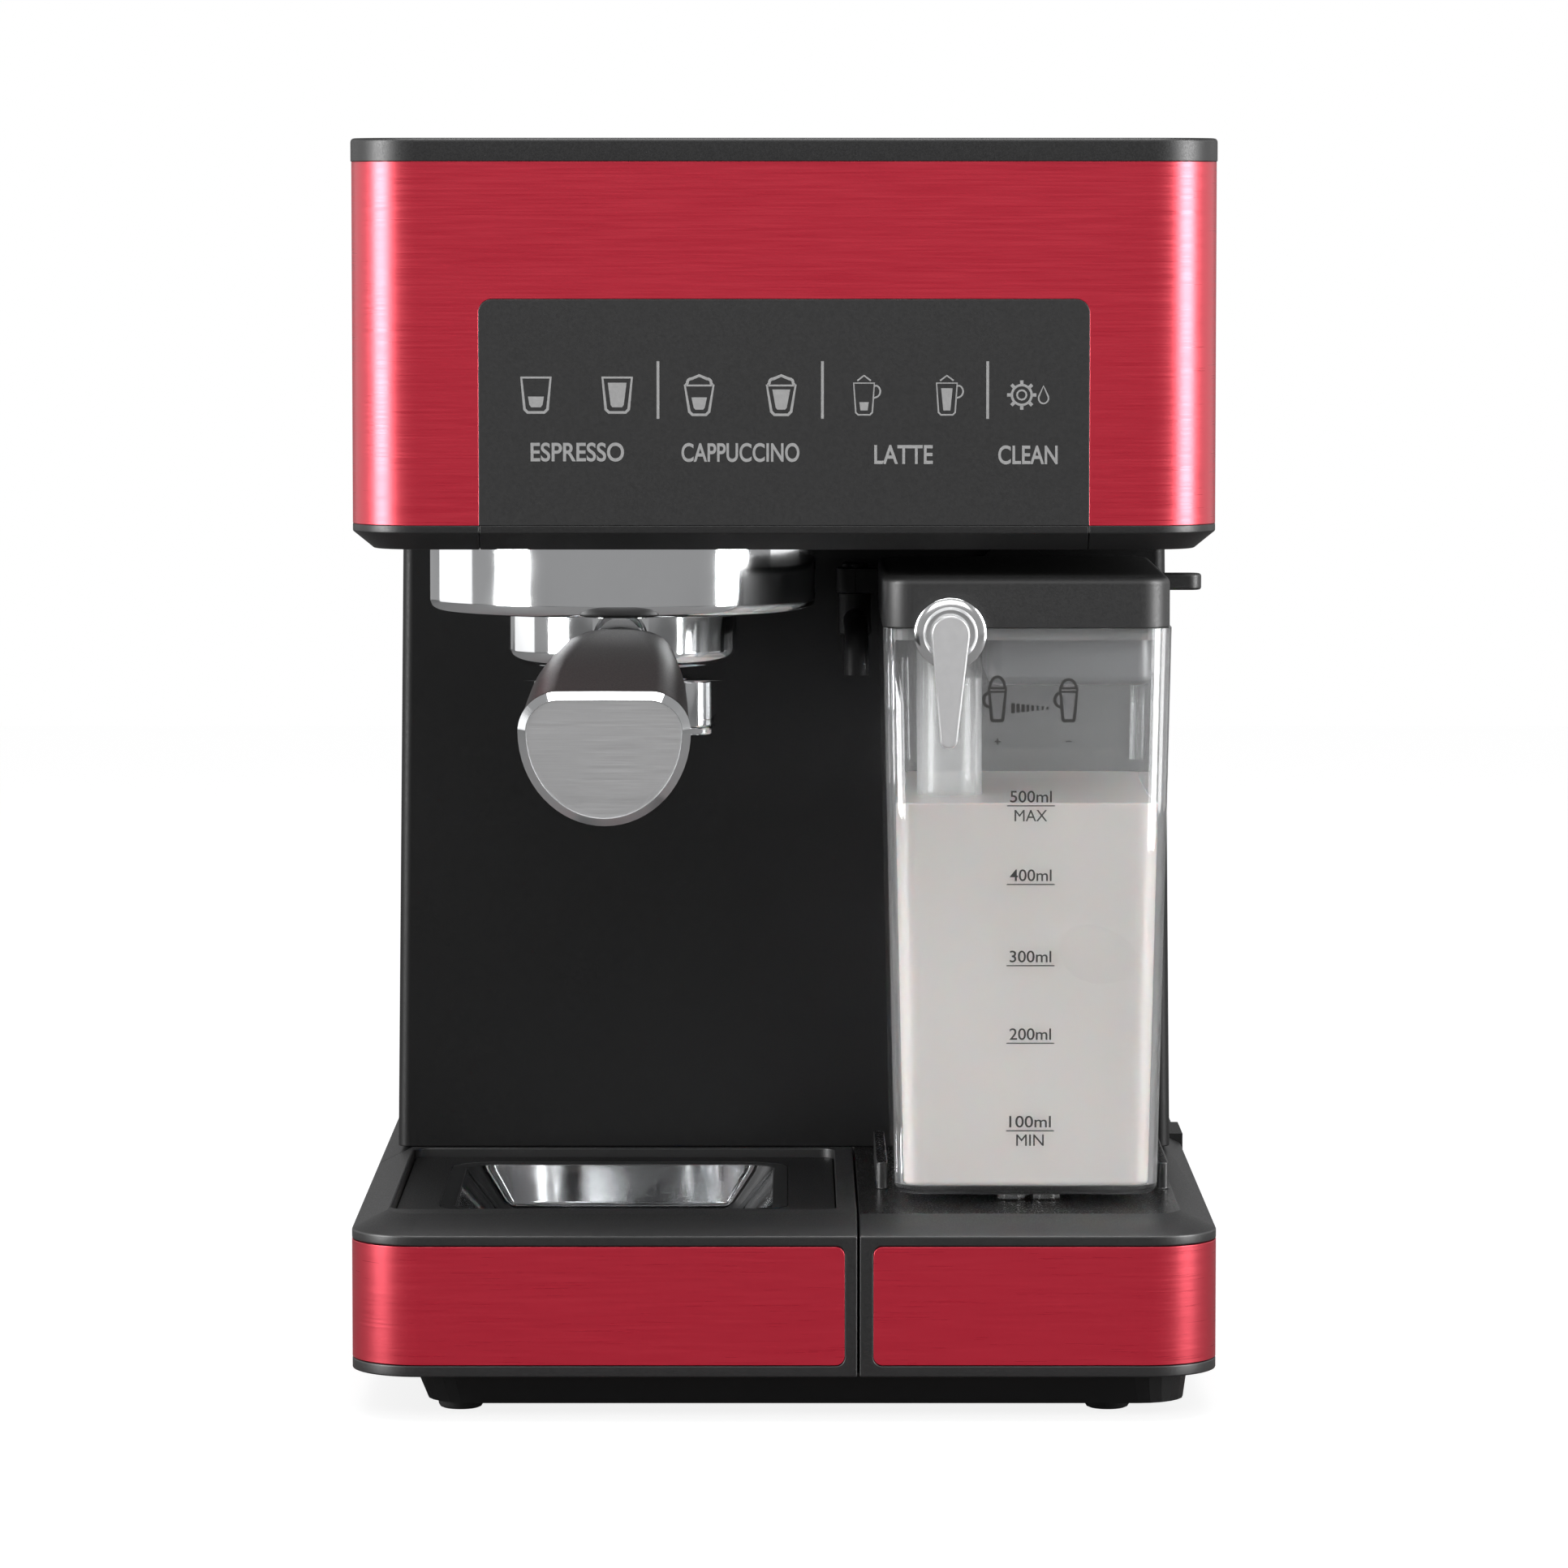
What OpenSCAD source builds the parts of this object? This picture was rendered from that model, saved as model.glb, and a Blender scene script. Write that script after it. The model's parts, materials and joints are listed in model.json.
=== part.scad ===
// Espresso machine with a side milk tank, as an assembly of its separate pieces.
// Millimetres. +Z is up, +X is the user's right and -Y points at the user.
// The origin is the middle of the footprint, handle included, at the soles of the feet.

/* [Overall] */
// Width over the base and the head
machine_w = 220; // [214:1:226]
// Depth of the base
base_d = 285; // [280:1:292]
// Height to the top of the lid
machine_h = 323.6; // [321:0.1:328]
// Reach of the filter holder's handle in front of the base
handle_reach = 87; // [80:1:94]
// Radius of the upright corners of the base and the head
corner_r = 18; // [17:0.5:22]

/* [Base] */
// Height of the rubber feet
foot_h = 3.1; // [2.5:0.1:5]
// Height of the underside of the tub and of the drip tray
tub_z = 11.3; // [10:0.1:12]
// Height of the top of the rim
rim_z = 51.9; // [50:0.1:54]
// How far the rim's chamfer leans in
rim_lean = 9.2; // [7:0.1:10]
// How far the rim's chamfer drops
rim_drop = 4.6; // [3.5:0.1:5]
// Lower edge of the red bands
band_z0 = 14.4; // [14:0.1:16]
// Upper edge of the red bands
band_z1 = 44.8; // [43:0.1:45]
// Where the drip tray meets the fixed part of the base, right of the middle
split_x = 18.8; // [16:0.1:20]
// Depth of the drip tray
tray_d = 142; // [140:1:146]

/* [Head] */
// Distance of the head's front behind the base's front
head_setback = 18; // [16:1:20]
// Height of the underside of the head
bezel_z = 219.6; // [218:0.1:221]
// Lower edge of the red wrap
wrap_z0 = 225.9; // [225:0.1:227]
// Upper edge of the red wrap
wrap_z1 = 317.7; // [316:0.1:319]
// Width of the control panel
panel_w = 154.4; // [146:0.1:160]
// Height of the top edge of the control panel
panel_z1 = 283.1; // [278:0.1:290]

/* [Brew group] */
// Distance of the group's axis left of the middle
group_left = 42; // [40:1:44]
// Distance of the group's axis behind the base's front
group_back = 76.5; // [74:0.5:79]
// Outer radius of the chrome collar
collar_r = 50.3; // [48:0.1:52]
// Underside of the chrome collar
collar_z = 201.9; // [201:0.1:203]
// Outer radius of the filter holder's cup
holder_r = 29.8; // [28.5:0.1:30.5]

/* [Milk tank] */
// Left side of the milk tank at its mouth
milk_x0 = 25.2; // [24.8:0.1:26]
// Right side of the milk tank at its mouth
milk_x1 = 98.8; // [97:0.1:99.5]
// How far each side of the milk tank leans in from mouth to floor
milk_lean = 3.2; // [2:0.1:4]
// Height of the milk tank's mouth
milk_mouth_z = 199.5; // [198:0.1:201]
// Height of the top of the milk tank's lid
milk_lid_z = 212.7; // [211:0.1:214]
// Distance of the froth knob's axis from the middle
knob_x = 42.2; // [41:0.1:44]
// Length of the froth lever below the knob's axis
froth_lever_len = 28.9; // [24:0.1:32]

/* [Water tank] */
// Depth of the water tank
water_d = 71; // [66:1:72]
// Wall of the clear tanks
clear_wall = 2.2; // [1.8:0.1:2.6]

/* [Hidden] */

// Colours of the finishes
black_plastic = "#2b2b2c";
dark_plastic = "#1c1c1d";
panel_black = "#3c3c3d";
red_metal = "#b22d40";
chrome = "#d7d9dc";
steel = "#b9bcc0";
brushed = "#aeb0b2";
clear = [0.86, 0.9, 0.92, 0.45];
smoke = [0.45, 0.48, 0.5, 0.55];
grey_plastic = "#6c6d70";
rubber = "#202022";
silicone = "#c9c4ba";
aluminium = "#a9acae";
board_green = "#1f6b45";
brass = "#c8a15a";

half_w = machine_w / 2;
y_back = (base_d + handle_reach) / 2;
y_front = y_back - base_d;
head_y = y_front + head_setback;
column_y = y_front + tray_d;
water_y = y_back - water_d;
// The head and the column end this far in front of the water tank
tank_gap = 2;
head_back = water_y - tank_gap;
// Gap round pieces that slide or lift out
slip = 0.3;
skin = 1.2;
casing_wall = 2.5;
eps = 0.02;
$fn = 48;

group_x = -group_left;
group_y = y_front + group_back;
milk_y0 = y_front + 23.5;
milk_y1 = column_y - 7;
milk_floor_z = rim_z + 2.5;
milk_mid = (milk_x0 + milk_x1) / 2;
steam_z = 205;
knob_z = milk_mouth_z - 1.2;

// ---- Outlines and plain solids ----

function unit(v) = v / norm(v);
function backwards(p) = [for (i = [len(p) - 1:-1:0]) p[i]];

// Points of an arc about a centre, or the centre alone when there is no radius
function arc(cx, cy, r, from, to, steps = 6) = r <= 0
    ? [[cx, cy]]
    : [for (i = [0:steps]) let (a = from + (to - from) * i / steps) [cx + r * cos(a), cy + r * sin(a)]];

// Outline of a plate, with one radius for its two lower corners and one for its two upper ones
function plate_outline(x0, x1, y0, y1, low_r, high_r) = concat(
    arc(x1 - low_r, y0 + low_r, low_r, -90, 0),
    arc(x1 - high_r, y1 - high_r, high_r, 0, 90),
    arc(x0 + high_r, y1 - high_r, high_r, 90, 180),
    arc(x0 + low_r, y0 + low_r, low_r, 180, 270));

// The head's plan, drawn in by some amount all round but not at the back
function head_outline(inset, back = 0) = concat(
    arc(half_w - corner_r, head_y + corner_r, corner_r - inset, -90, 0),
    [[half_w - inset, head_back + back], [inset - half_w, head_back + back]],
    arc(corner_r - half_w, head_y + corner_r, corner_r - inset, 180, 270));

// The fixed part of the base: the right side and the back, an L in plan
function tub_outline(inset, seam) = concat(
    [[split_x + seam, y_front + inset]],
    arc(half_w - corner_r, y_front + corner_r, corner_r - inset, -90, 0),
    arc(half_w - corner_r, y_back - corner_r, corner_r - inset, 0, 90),
    arc(corner_r - half_w, y_back - corner_r, corner_r - inset, 90, 180),
    [[inset - half_w, column_y + seam], [split_x + seam, column_y + seam]]);

// The drip tray: the front left quarter of the base
function tray_outline(inset, seam) = concat(
    [[split_x - seam, y_front + inset], [split_x - seam, column_y - seam], [inset - half_w, column_y - seam]],
    arc(corner_r - half_w, y_front + corner_r, corner_r - inset, 180, 270));

// Edge lines that the two wrapped bands follow
band_gap = 3.5;
function right_band_line(inset) = concat(
    [[split_x + band_gap + slip, y_front + inset]],
    arc(half_w - corner_r, y_front + corner_r, corner_r - inset, -90, 0),
    [[half_w - inset, y_back - corner_r]]);
function left_band_line(inset) = concat(
    [[inset - half_w, column_y - band_gap]],
    arc(corner_r - half_w, y_front + corner_r, corner_r - inset, 180, 270),
    [[split_x - band_gap, y_front + inset]]);

module slab(points, z0, z1) {
    translate([0, 0, z0])
        linear_extrude(z1 - z0)
            polygon(points);
}

module block(x0, x1, y0, y1, z0, z1) {
    translate([x0, y0, z0])
        cube([x1 - x0, y1 - y0, z1 - z0]);
}

// A drawing in X and Z made as thick as y0 to y1
module front_plate(points, y0, y1) {
    translate([0, y1, 0])
        rotate([90, 0, 0])
            linear_extrude(y1 - y0)
                polygon(points);
}

module post(x, y, z0, z1, r) {
    translate([x, y, z0])
        cylinder(r = r, h = z1 - z0);
}

module long_rod(x, z, y0, y1, r) {
    translate([x, y0, z])
        rotate([-90, 0, 0])
            cylinder(r = r, h = y1 - y0);
}

module cross_rod(y, z, x0, x1, r) {
    translate([x0, y, z])
        rotate([0, 90, 0])
            cylinder(r = r, h = x1 - x0);
}

module turned(points, x, y) {
    translate([x, y, 0])
        rotate_extrude($fn = 96)
            polygon(points);
}

module both_sides() {
    children();
    mirror([1, 0, 0])
        children();
}

// Hoses and pipes: a smooth path through stations, with a ring of points at each step
lean = [0.31, 0.85, 0.43];
function between(p, i, t) = let (
        a = p[max(i - 1, 0)],
        b = p[i],
        c = p[i + 1],
        d = p[min(i + 2, len(p) - 1)])
    0.5 * (2 * b + (c - a) * t + (2 * a - 5 * b + 4 * c - d) * t * t + (3 * b - a - 3 * c + d) * t * t * t);
function bend(p, steps = 4) = concat(
    [for (i = [0:len(p) - 2], j = [0:steps - 1]) between(p, i, j / steps)],
    [p[len(p) - 1]]);

module hose(stations, r, sides = 8) {
    path = bend(stations);
    last = len(path) - 1;
    points = [
        for (i = [0:last])
            let (t = unit(path[min(i + 1, last)] - path[max(i - 1, 0)]), n = unit(cross(t, lean)), b = cross(n, t))
                for (k = [0:sides - 1])
                    path[i] + r * (cos(360 * k / sides) * n + sin(360 * k / sides) * b)
    ];
    walls = [
        for (i = [0:last - 1], k = [0:sides - 1])
            let (a = i * sides + k, b = i * sides + (k + 1) % sides)
                each [[a, b, b + sides], [a, b + sides, a + sides]]
    ];
    near_end = [for (k = [sides - 1:-1:0]) k];
    far_end = [for (k = [0:sides - 1]) last * sides + k];
    polyhedron(points, concat(walls, [near_end, far_end]));
}

// ---- Base ----

pan_x0 = -94;
pan_x1 = 103;
pan_y0 = y_front + 9;
pan_y1 = y_back - 9;
pan_floor = 2.5;
foot_x = 82.7;
foot_y = [y_front + 25, y_back - 25];
foot_stem_r = 2.5;
flange_w = 16;
tub_floor = 2;
screw_spots = [
    [98, y_front + 40], [98, 40], [98, y_back - 45], [30, y_front + 16],
    [-88, y_back - 45], [-88, column_y + 24], [10, y_back - 14]
];
switch_y = y_front + 198;
switch_z = 37;
switch_w = 26;
switch_x = half_w + 0.6;
seat_y = water_y + water_d / 2;
seat_r = 14;
cord_x = 80;
cord_z = 24;
cord_r = 3.6;
well_half = 11;
well_d = 12;
well_wall = 2;
// Where the base's rear moulding joins the deck
skirt_y = y_back - 16.6;
// Thickness of the deck, and of the deck with its rim
deck_t = 2.5;
deck_drop = 6.7;
cheek_x0 = 24.1;
cheek_x1 = 99.9;
cheek_t = 2.8;
cheek_y0 = column_y - 86;
cheek_d = 66;
cheek_h = 7;
socket_x = milk_mid;

module switch_space() {
    block(100, switch_x + 1, switch_y - switch_w / 2, switch_y + switch_w / 2, switch_z - 13, switch_z + 13);
}

module rim_piece(low, high) {
    hull() {
        slab(low, rim_z - rim_drop - eps, rim_z - rim_drop);
        slab(high, rim_z - eps, rim_z);
    }
}

module band_groove(line_in, line_out) {
    slab(concat(line_out, backwards(line_in)), band_z0, band_z1);
}

module left_rear_band(out) {
    block(-half_w - out, skin - half_w, column_y + band_gap, y_back - corner_r, band_z0, band_z1);
}

// Outside of the base's fixed mouldings, hollow below the deck
module tub_body() {
    difference() {
        union() {
            slab(tub_outline(0, slip), tub_z, rim_z - rim_drop);
            rim_piece(
                concat(
                    [[split_x + slip, y_front]],
                    arc(half_w - corner_r, y_front + corner_r, corner_r, -90, 0),
                    arc(half_w - corner_r, y_back - corner_r, corner_r, 0, 90),
                    [[split_x + slip, y_back]]),
                concat(
                    [[split_x + slip, y_front + rim_lean]],
                    arc(half_w - corner_r, y_front + corner_r, corner_r - rim_lean, -90, 0),
                    arc(half_w - corner_r, y_back - corner_r, corner_r - rim_lean, 0, 90),
                    [[split_x + slip, y_back - rim_lean]]));
            rim_piece(
                concat(
                    [[split_x + 9, column_y + slip], [split_x + 9, y_back]],
                    arc(corner_r - half_w, y_back - corner_r, corner_r, 90, 180),
                    [[-half_w, column_y + slip]]),
                concat(
                    [[split_x + 9, column_y + slip], [split_x + 9, y_back - rim_lean]],
                    arc(corner_r - half_w, y_back - corner_r, corner_r - rim_lean, 90, 180),
                    [[rim_lean - half_w, column_y + slip]]));
        }
        slab(tub_outline(casing_wall, slip + casing_wall), tub_z + tub_floor, rim_z - deck_drop);
        slab(tub_outline(corner_r - 6, slip + casing_wall), rim_z - deck_drop - 0.3, rim_z - deck_t);
        slab(tub_outline(flange_w, slip + flange_w), tub_z - 1, tub_z + tub_floor + 1);
        for (p = screw_spots)
            post(p[0], p[1], tub_z - 1, tub_z + 8, 1.5);
    }
}

// Fixed moulding of the base: deck under the milk tank and the column, with the rim round it
module base_tub() {
    color(black_plastic)
        difference() {
            union() {
                tub_body();
                // Cheeks that guide the milk tank
                for (x = [cheek_x0, cheek_x1 - cheek_t])
                    block(x, x + cheek_t, cheek_y0, cheek_y0 + cheek_d, rim_z - 1, rim_z + cheek_h);
            }
            block(-half_w - 1, half_w + 1, skirt_y, y_back + 1, tub_z - 1, rim_z + 1);
            block(-92, 92, column_y + 7, head_back - 7, rim_z - 5, rim_z + 1);
            post(0, seat_y, rim_z - 5, rim_z + 1, seat_r + 0.2);
            band_groove(right_band_line(skin), right_band_line(-1));
            left_rear_band(1);
            switch_space();
        }
}

// Rear moulding of the base, with the pocket that the mains lead comes out of
module rear_skirt() {
    color(black_plastic)
        difference() {
            union() {
                intersection() {
                    tub_body();
                    block(-half_w - 1, half_w + 1, skirt_y + 0.2, y_back + 1, tub_z - 1, rim_z + 1);
                }
                block(
                    cord_x - well_half, cord_x + well_half, y_back - well_d - casing_wall, y_back - 1,
                    tub_z, cord_z + well_half);
            }
            block(
                cord_x - well_half + well_wall, cord_x + well_half - well_wall, y_back - well_d, y_back + 1,
                tub_z - 1, cord_z + well_half - well_wall);
            long_rod(cord_x, cord_z, y_back - well_d - casing_wall - 1, y_back, 7);
        }
}

// Plastic pan that closes the underside; its ribs carry the drip tray
module bottom_pan() {
    color(dark_plastic)
        difference() {
            union() {
                difference() {
                    hull() {
                        slab(plate_outline(pan_x0 + 3, pan_x1 - 1, pan_y0 + 2, pan_y1 - 2, 12, 12), foot_h, foot_h + 1);
                        slab(plate_outline(pan_x0, pan_x1, pan_y0, pan_y1, 14, 14), tub_z - 1, tub_z);
                    }
                    slab(plate_outline(pan_x0 + 5, pan_x1 - 4, pan_y0 + 5, pan_y1 - 5, 10, 10), foot_h + pan_floor, tub_z + 1);
                }
                for (x = [-75:25:0])
                    block(x - 1, x + 1, pan_y0 + 3, column_y + 2, foot_h + 1, tub_z);
                for (p = screw_spots)
                    post(p[0], p[1], foot_h + 1, tub_z, 5);
                for (x = [-foot_x, foot_x], y = foot_y)
                    post(x, y, foot_h + 1, tub_z - 0.5, 6);
            }
            for (x = [-foot_x, foot_x], y = foot_y)
                post(x, y, foot_h - 1, foot_h + 6, foot_stem_r + 0.05);
            for (p = screw_spots) {
                post(p[0], p[1], foot_h - 1, tub_z + 1, 1.6);
                post(p[0], p[1], foot_h - 1, foot_h + 3, 3.4);
            }
            // Air slots under the pump
            for (i = [0:6])
                block(-40 + 9 * i, -36 + 9 * i, 70, 104, foot_h - 1, foot_h + 4);
        }
}

module rubber_feet() {
    color(rubber)
        for (x = [-foot_x, foot_x], y = foot_y)
            turned([
                [0, 0], [5.4, 0], [6, 0.6], [6, foot_h], [foot_stem_r, foot_h],
                [foot_stem_r, foot_h + 5], [1.6, foot_h + 5.8], [0, foot_h + 5.8]
            ], x, y);
}

module base_band() {
    color(red_metal)
        difference() {
            union() {
                band_groove(right_band_line(skin), right_band_line(0));
                left_rear_band(0);
            }
            switch_space();
        }
}

module base_screws() {
    color(steel)
        for (p = screw_spots)
            turned([
                [0, foot_h + 1], [3, foot_h + 1], [3, foot_h + 3], [1.45, foot_h + 3],
                [1.45, tub_z + 1.5], [0, tub_z + 2]
            ], p[0], p[1]);
}

// ---- Drip tray ----

tray_z0 = tub_z + 0.2;
well_x0 = 10 - half_w;
well_x1 = split_x - 5.3;
well_y0 = head_y;
well_y1 = column_y - 3;
plate_z1 = rim_z - 2.4;
plate_t = 3;
ledge = 3;
dish_x0 = group_x - 44;
dish_x1 = group_x + 40;
dish_y0 = group_y - 40.5;
dish_y1 = group_y + 49.5;
dish_r = 8;
dish_slope = 9;
dish_floor_z = 38;
dish_t = 0.9;

module drip_tray() {
    color(black_plastic)
        difference() {
            union() {
                slab(tray_outline(0, slip), tray_z0, rim_z - rim_drop);
                rim_piece(
                    tray_outline(0, slip),
                    concat(
                        [[split_x - slip, y_front + rim_lean], [split_x - slip, column_y - slip]],
                        [[rim_lean - half_w, column_y - slip]],
                        arc(corner_r - half_w, y_front + corner_r, corner_r - rim_lean, 180, 270)));
            }
            slab(tray_outline(casing_wall, slip + casing_wall), tray_z0 + tub_floor, plate_z1 - plate_t - 3.5);
            slab(
                plate_outline(well_x0 + ledge, well_x1 - ledge, well_y0 + ledge, well_y1 - ledge, 4, 4),
                rim_z - 20, rim_z);
            slab(plate_outline(well_x0, well_x1, well_y0, well_y1, 4, 4), plate_z1 - plate_t - 0.1, rim_z + 1);
            band_groove(left_band_line(-1), left_band_line(skin));
        }
}

module drip_tray_band() {
    color(red_metal)
        band_groove(left_band_line(0), left_band_line(skin));
}

// Lift-out plate with the opening that the steel dish hangs in
module drip_plate() {
    color(dark_plastic)
        difference() {
            slab(
                plate_outline(well_x0 + slip, well_x1 - slip, well_y0 + slip, well_y1 - slip, 4, 4),
                plate_z1 - plate_t, plate_z1);
            slab(plate_outline(dish_x0, dish_x1, dish_y0, dish_y1, dish_r, dish_r), rim_z - 20, rim_z);
            slab(
                plate_outline(dish_x0 - 3, dish_x1 + 3, dish_y0 - 3, dish_y1 + 3, dish_r + 3, dish_r + 3),
                plate_z1 - dish_t, rim_z);
        }
}

module dish_space(grow, floor_z, top_z) {
    hull() {
        slab(
            plate_outline(
                dish_x0 + dish_slope - grow, dish_x1 - dish_slope + grow,
                dish_y0 + dish_slope - grow, dish_y1 - dish_slope + grow, 5 + grow, 5 + grow),
            floor_z, floor_z + eps);
        slab(
            plate_outline(
                dish_x0 + 1.2 - grow, dish_x1 - 1.2 + grow,
                dish_y0 + 1.2 - grow, dish_y1 - 1.2 + grow, dish_r - 1.2 + grow, dish_r - 1.2 + grow),
            top_z - eps, top_z);
    }
}

// Pressed steel dish that the cup stands in, with drain slots round its floor
module cup_dish() {
    color(chrome)
        difference() {
            union() {
                slab(
                    plate_outline(dish_x0 - 2.8, dish_x1 + 2.8, dish_y0 - 2.8, dish_y1 + 2.8, dish_r + 2.8, dish_r + 2.8),
                    plate_z1 - dish_t, plate_z1);
                dish_space(dish_t, dish_floor_z - dish_t, plate_z1);
            }
            dish_space(0, dish_floor_z, plate_z1 + eps);
            for (i = [-3:3])
                for (y = [dish_y0 + 19, dish_y1 - 19])
                    slab(
                        plate_outline(group_x - 3.5 + 8 * i, group_x - 0.5 + 8 * i, y - 6, y + 6, 1.4, 1.4),
                        dish_floor_z - 3, dish_floor_z + 1);
        }
}

// ---- Column ----

column_top = 102.8;
column_foot = 104.8;
panel_half = 99.8;
boss_x = 95.5;
boss_heights = [70, 140, 205];

module column_solid(inset, y1) {
    hull() {
        slab(plate_outline(inset - column_foot, column_foot - inset, column_y + inset, y1, 3, 0), rim_z, rim_z + eps);
        slab(plate_outline(inset - column_top, column_top - inset, column_y + inset, y1, 3, 0), bezel_z - eps, bezel_z);
    }
}

// Front and sides of the column that carries the head
module column_housing() {
    color(black_plastic)
        difference() {
            union() {
                difference() {
                    column_solid(0, head_back);
                    column_solid(casing_wall, head_back + 1);
                }
                both_sides()
                    for (z = boss_heights) {
                        long_rod(boss_x, z, head_back - 17, head_back - casing_wall, 5);
                        block(boss_x + 3, column_top - 0.3, head_back - 17, head_back - casing_wall, z - 4, z + 4);
                    }
            }
            both_sides()
                for (z = boss_heights)
                    long_rod(boss_x, z, head_back - 14, head_back, 1.5);
            long_rod(socket_x, steam_z, column_y - 1, column_y + 6, 8.1);
        }
}

// Tall panel behind the column and the head, which the water tank stands against
module back_panel() {
    color(black_plastic)
        difference() {
            block(-panel_half, panel_half, head_back - casing_wall, head_back, rim_z, wrap_z1);
            both_sides()
                for (z = concat(boss_heights, [240, 300]))
                    long_rod(boss_x, z, head_back - 4, head_back + 1, 1.6);
        }
}

module case_screws() {
    color(steel)
        both_sides()
            for (z = concat(boss_heights, [240, 300])) {
                long_rod(boss_x, z, head_back - 12, head_back, 1.45);
                long_rod(boss_x, z, head_back, head_back + 1.6, 3);
            }
}

// Rubber gland for the mains lead, in a recess at the back
module cord_gland() {
    color(rubber)
        difference() {
            union() {
                long_rod(cord_x, cord_z, y_back - 16.5, y_back - 10, 6.9);
                long_rod(cord_x, cord_z, y_back - well_d, y_back - 10, 8.6);
                long_rod(cord_x, cord_z, y_back - 10, y_back - 1, 5.6);
            }
            long_rod(cord_x, cord_z, y_back - 17, y_back, cord_r);
        }
}

rocker_x = half_w - 5.1;
rocker_tilt = 7;

module power_switch() {
    color(dark_plastic)
        difference() {
            block(100, switch_x, switch_y - 13, switch_y + 13, switch_z - 13, switch_z + 13);
            block(101.5, switch_x + 1, switch_y - 10, switch_y + 10, switch_z - 10.2, switch_z + 10.2);
            long_rod(rocker_x, switch_z, switch_y - 12, switch_y + 12, 1.55);
        }
}

module power_rocker() {
    color(black_plastic)
        translate([rocker_x, 0, switch_z])
            rotate([0, rocker_tilt, 0]) {
                front_plate(
                    [[-2.4, -7], [4.4, -9], [3.5, 0], [4.4, 9], [-2.4, 7]],
                    switch_y - 9.7, switch_y + 9.7);
                long_rod(0, 0, switch_y - 11.6, switch_y + 11.6, 1.5);
            }
}

// ---- Head ----

frame_wall = 2.3;
bezel_lean = 5.4;
bezel_drop = 4.4;

module panel_shape(shrink) {
    front_plate(
        plate_outline(shrink - panel_w / 2, panel_w / 2 - shrink, wrap_z0 - 1 + shrink, panel_z1 - shrink, 0, 3.5 - shrink),
        head_y - 1, head_y + skin + frame_wall + 1);
}

// Moulded frame inside the red wrap, which carries the panel, the boards and the lid
module head_frame() {
    color(dark_plastic)
        difference() {
            union() {
                difference() {
                    slab(head_outline(skin), wrap_z0, wrap_z1);
                    slab(head_outline(skin + frame_wall, 1), wrap_z0 - 1, wrap_z1 + 1);
                }
                both_sides() {
                    block(panel_half + slip, half_w - skin - 1, head_back - casing_wall, head_back, wrap_z0, wrap_z1);
                    for (z = [240, 300])
                        long_rod(boss_x, z, head_back - 17, head_back - casing_wall, 5);
                    for (z = [240, 300])
                        block(boss_x + 3, half_w - skin - 1, head_back - 17, head_back - casing_wall, z - 4, z + 4);
                    // Posts that take the lid's screws
                    post(half_w - 12, head_y + 22, wrap_z1 - 30, wrap_z1, 4);
                    block(half_w - 12, half_w - skin - 1, head_y + 20, head_y + 24, wrap_z1 - 30, wrap_z1);
                }
            }
            panel_shape(-0.1);
            both_sides() {
                for (z = [240, 300])
                    long_rod(boss_x, z, head_back - 14, head_back, 1.5);
                post(half_w - 12, head_y + 22, wrap_z1 - 14, wrap_z1 + 1, 1.4);
            }
        }
}

// Brushed red sheet bent round the front and the two sides
module head_wrap() {
    color(red_metal)
        difference() {
            slab(head_outline(0), wrap_z0, wrap_z1);
            slab(head_outline(skin, 1), wrap_z0 - 1, wrap_z1 + 1);
            panel_shape(0);
        }
}

module bezel_solid() {
    hull() {
        slab(head_outline(bezel_lean), bezel_z, bezel_z + eps);
        slab(head_outline(0), bezel_z + bezel_drop, wrap_z0);
    }
}

chin_half = panel_w / 2 - 0.2;
chin_d = 10;

// Floor of the head with its chamfered edge
module head_bezel() {
    color(dark_plastic)
        difference() {
            bezel_solid();
            slab(head_outline(chin_d + 2, -4), bezel_z + 2.6, wrap_z0 + 1);
            block(-chin_half - 0.1, chin_half + 0.1, head_y - 1, head_y + chin_d, bezel_z - 1, wrap_z0 + 1);
            post(group_x, group_y, bezel_z - 1, wrap_z0 + 1, 45.3);
            block(-96, 96, column_y + 5, head_back - 5, bezel_z - 1, wrap_z0 + 1);
            block(
                -panel_half - 0.1, panel_half + 0.1, head_back - casing_wall - 0.1, head_back + 1,
                bezel_z - 1, wrap_z0 + 1);
        }
}

module panel_chin() {
    color(dark_plastic)
        intersection() {
            bezel_solid();
            block(-chin_half, chin_half, head_y - 1, head_y + chin_d - 0.1, bezel_z - 1, wrap_z0 + 1);
        }
}

module control_panel() {
    color(panel_black)
        intersection() {
            panel_shape(0.05);
            block(-half_w, half_w, head_y, head_y + skin + frame_wall, wrap_z0, wrap_z1);
        }
}

// Lid of the head, with a shallow recess that keeps cups warm
module top_cover() {
    color(panel_black)
        difference() {
            union() {
                slab(head_outline(-0.2), wrap_z1, machine_h - 1);
                hull() {
                    slab(head_outline(-0.2), machine_h - 1 - eps, machine_h - 1);
                    slab(head_outline(0.8), machine_h - eps, machine_h);
                }
            }
            slab(head_outline(9, -9), machine_h - 1.4, machine_h + 1);
            slab(head_outline(5, -5), wrap_z1 - 1, machine_h - 3.6);
            both_sides()
                post(half_w - 12, head_y + 22, wrap_z1 - 1, machine_h - 2.4, 1.5);
        }
}

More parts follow.
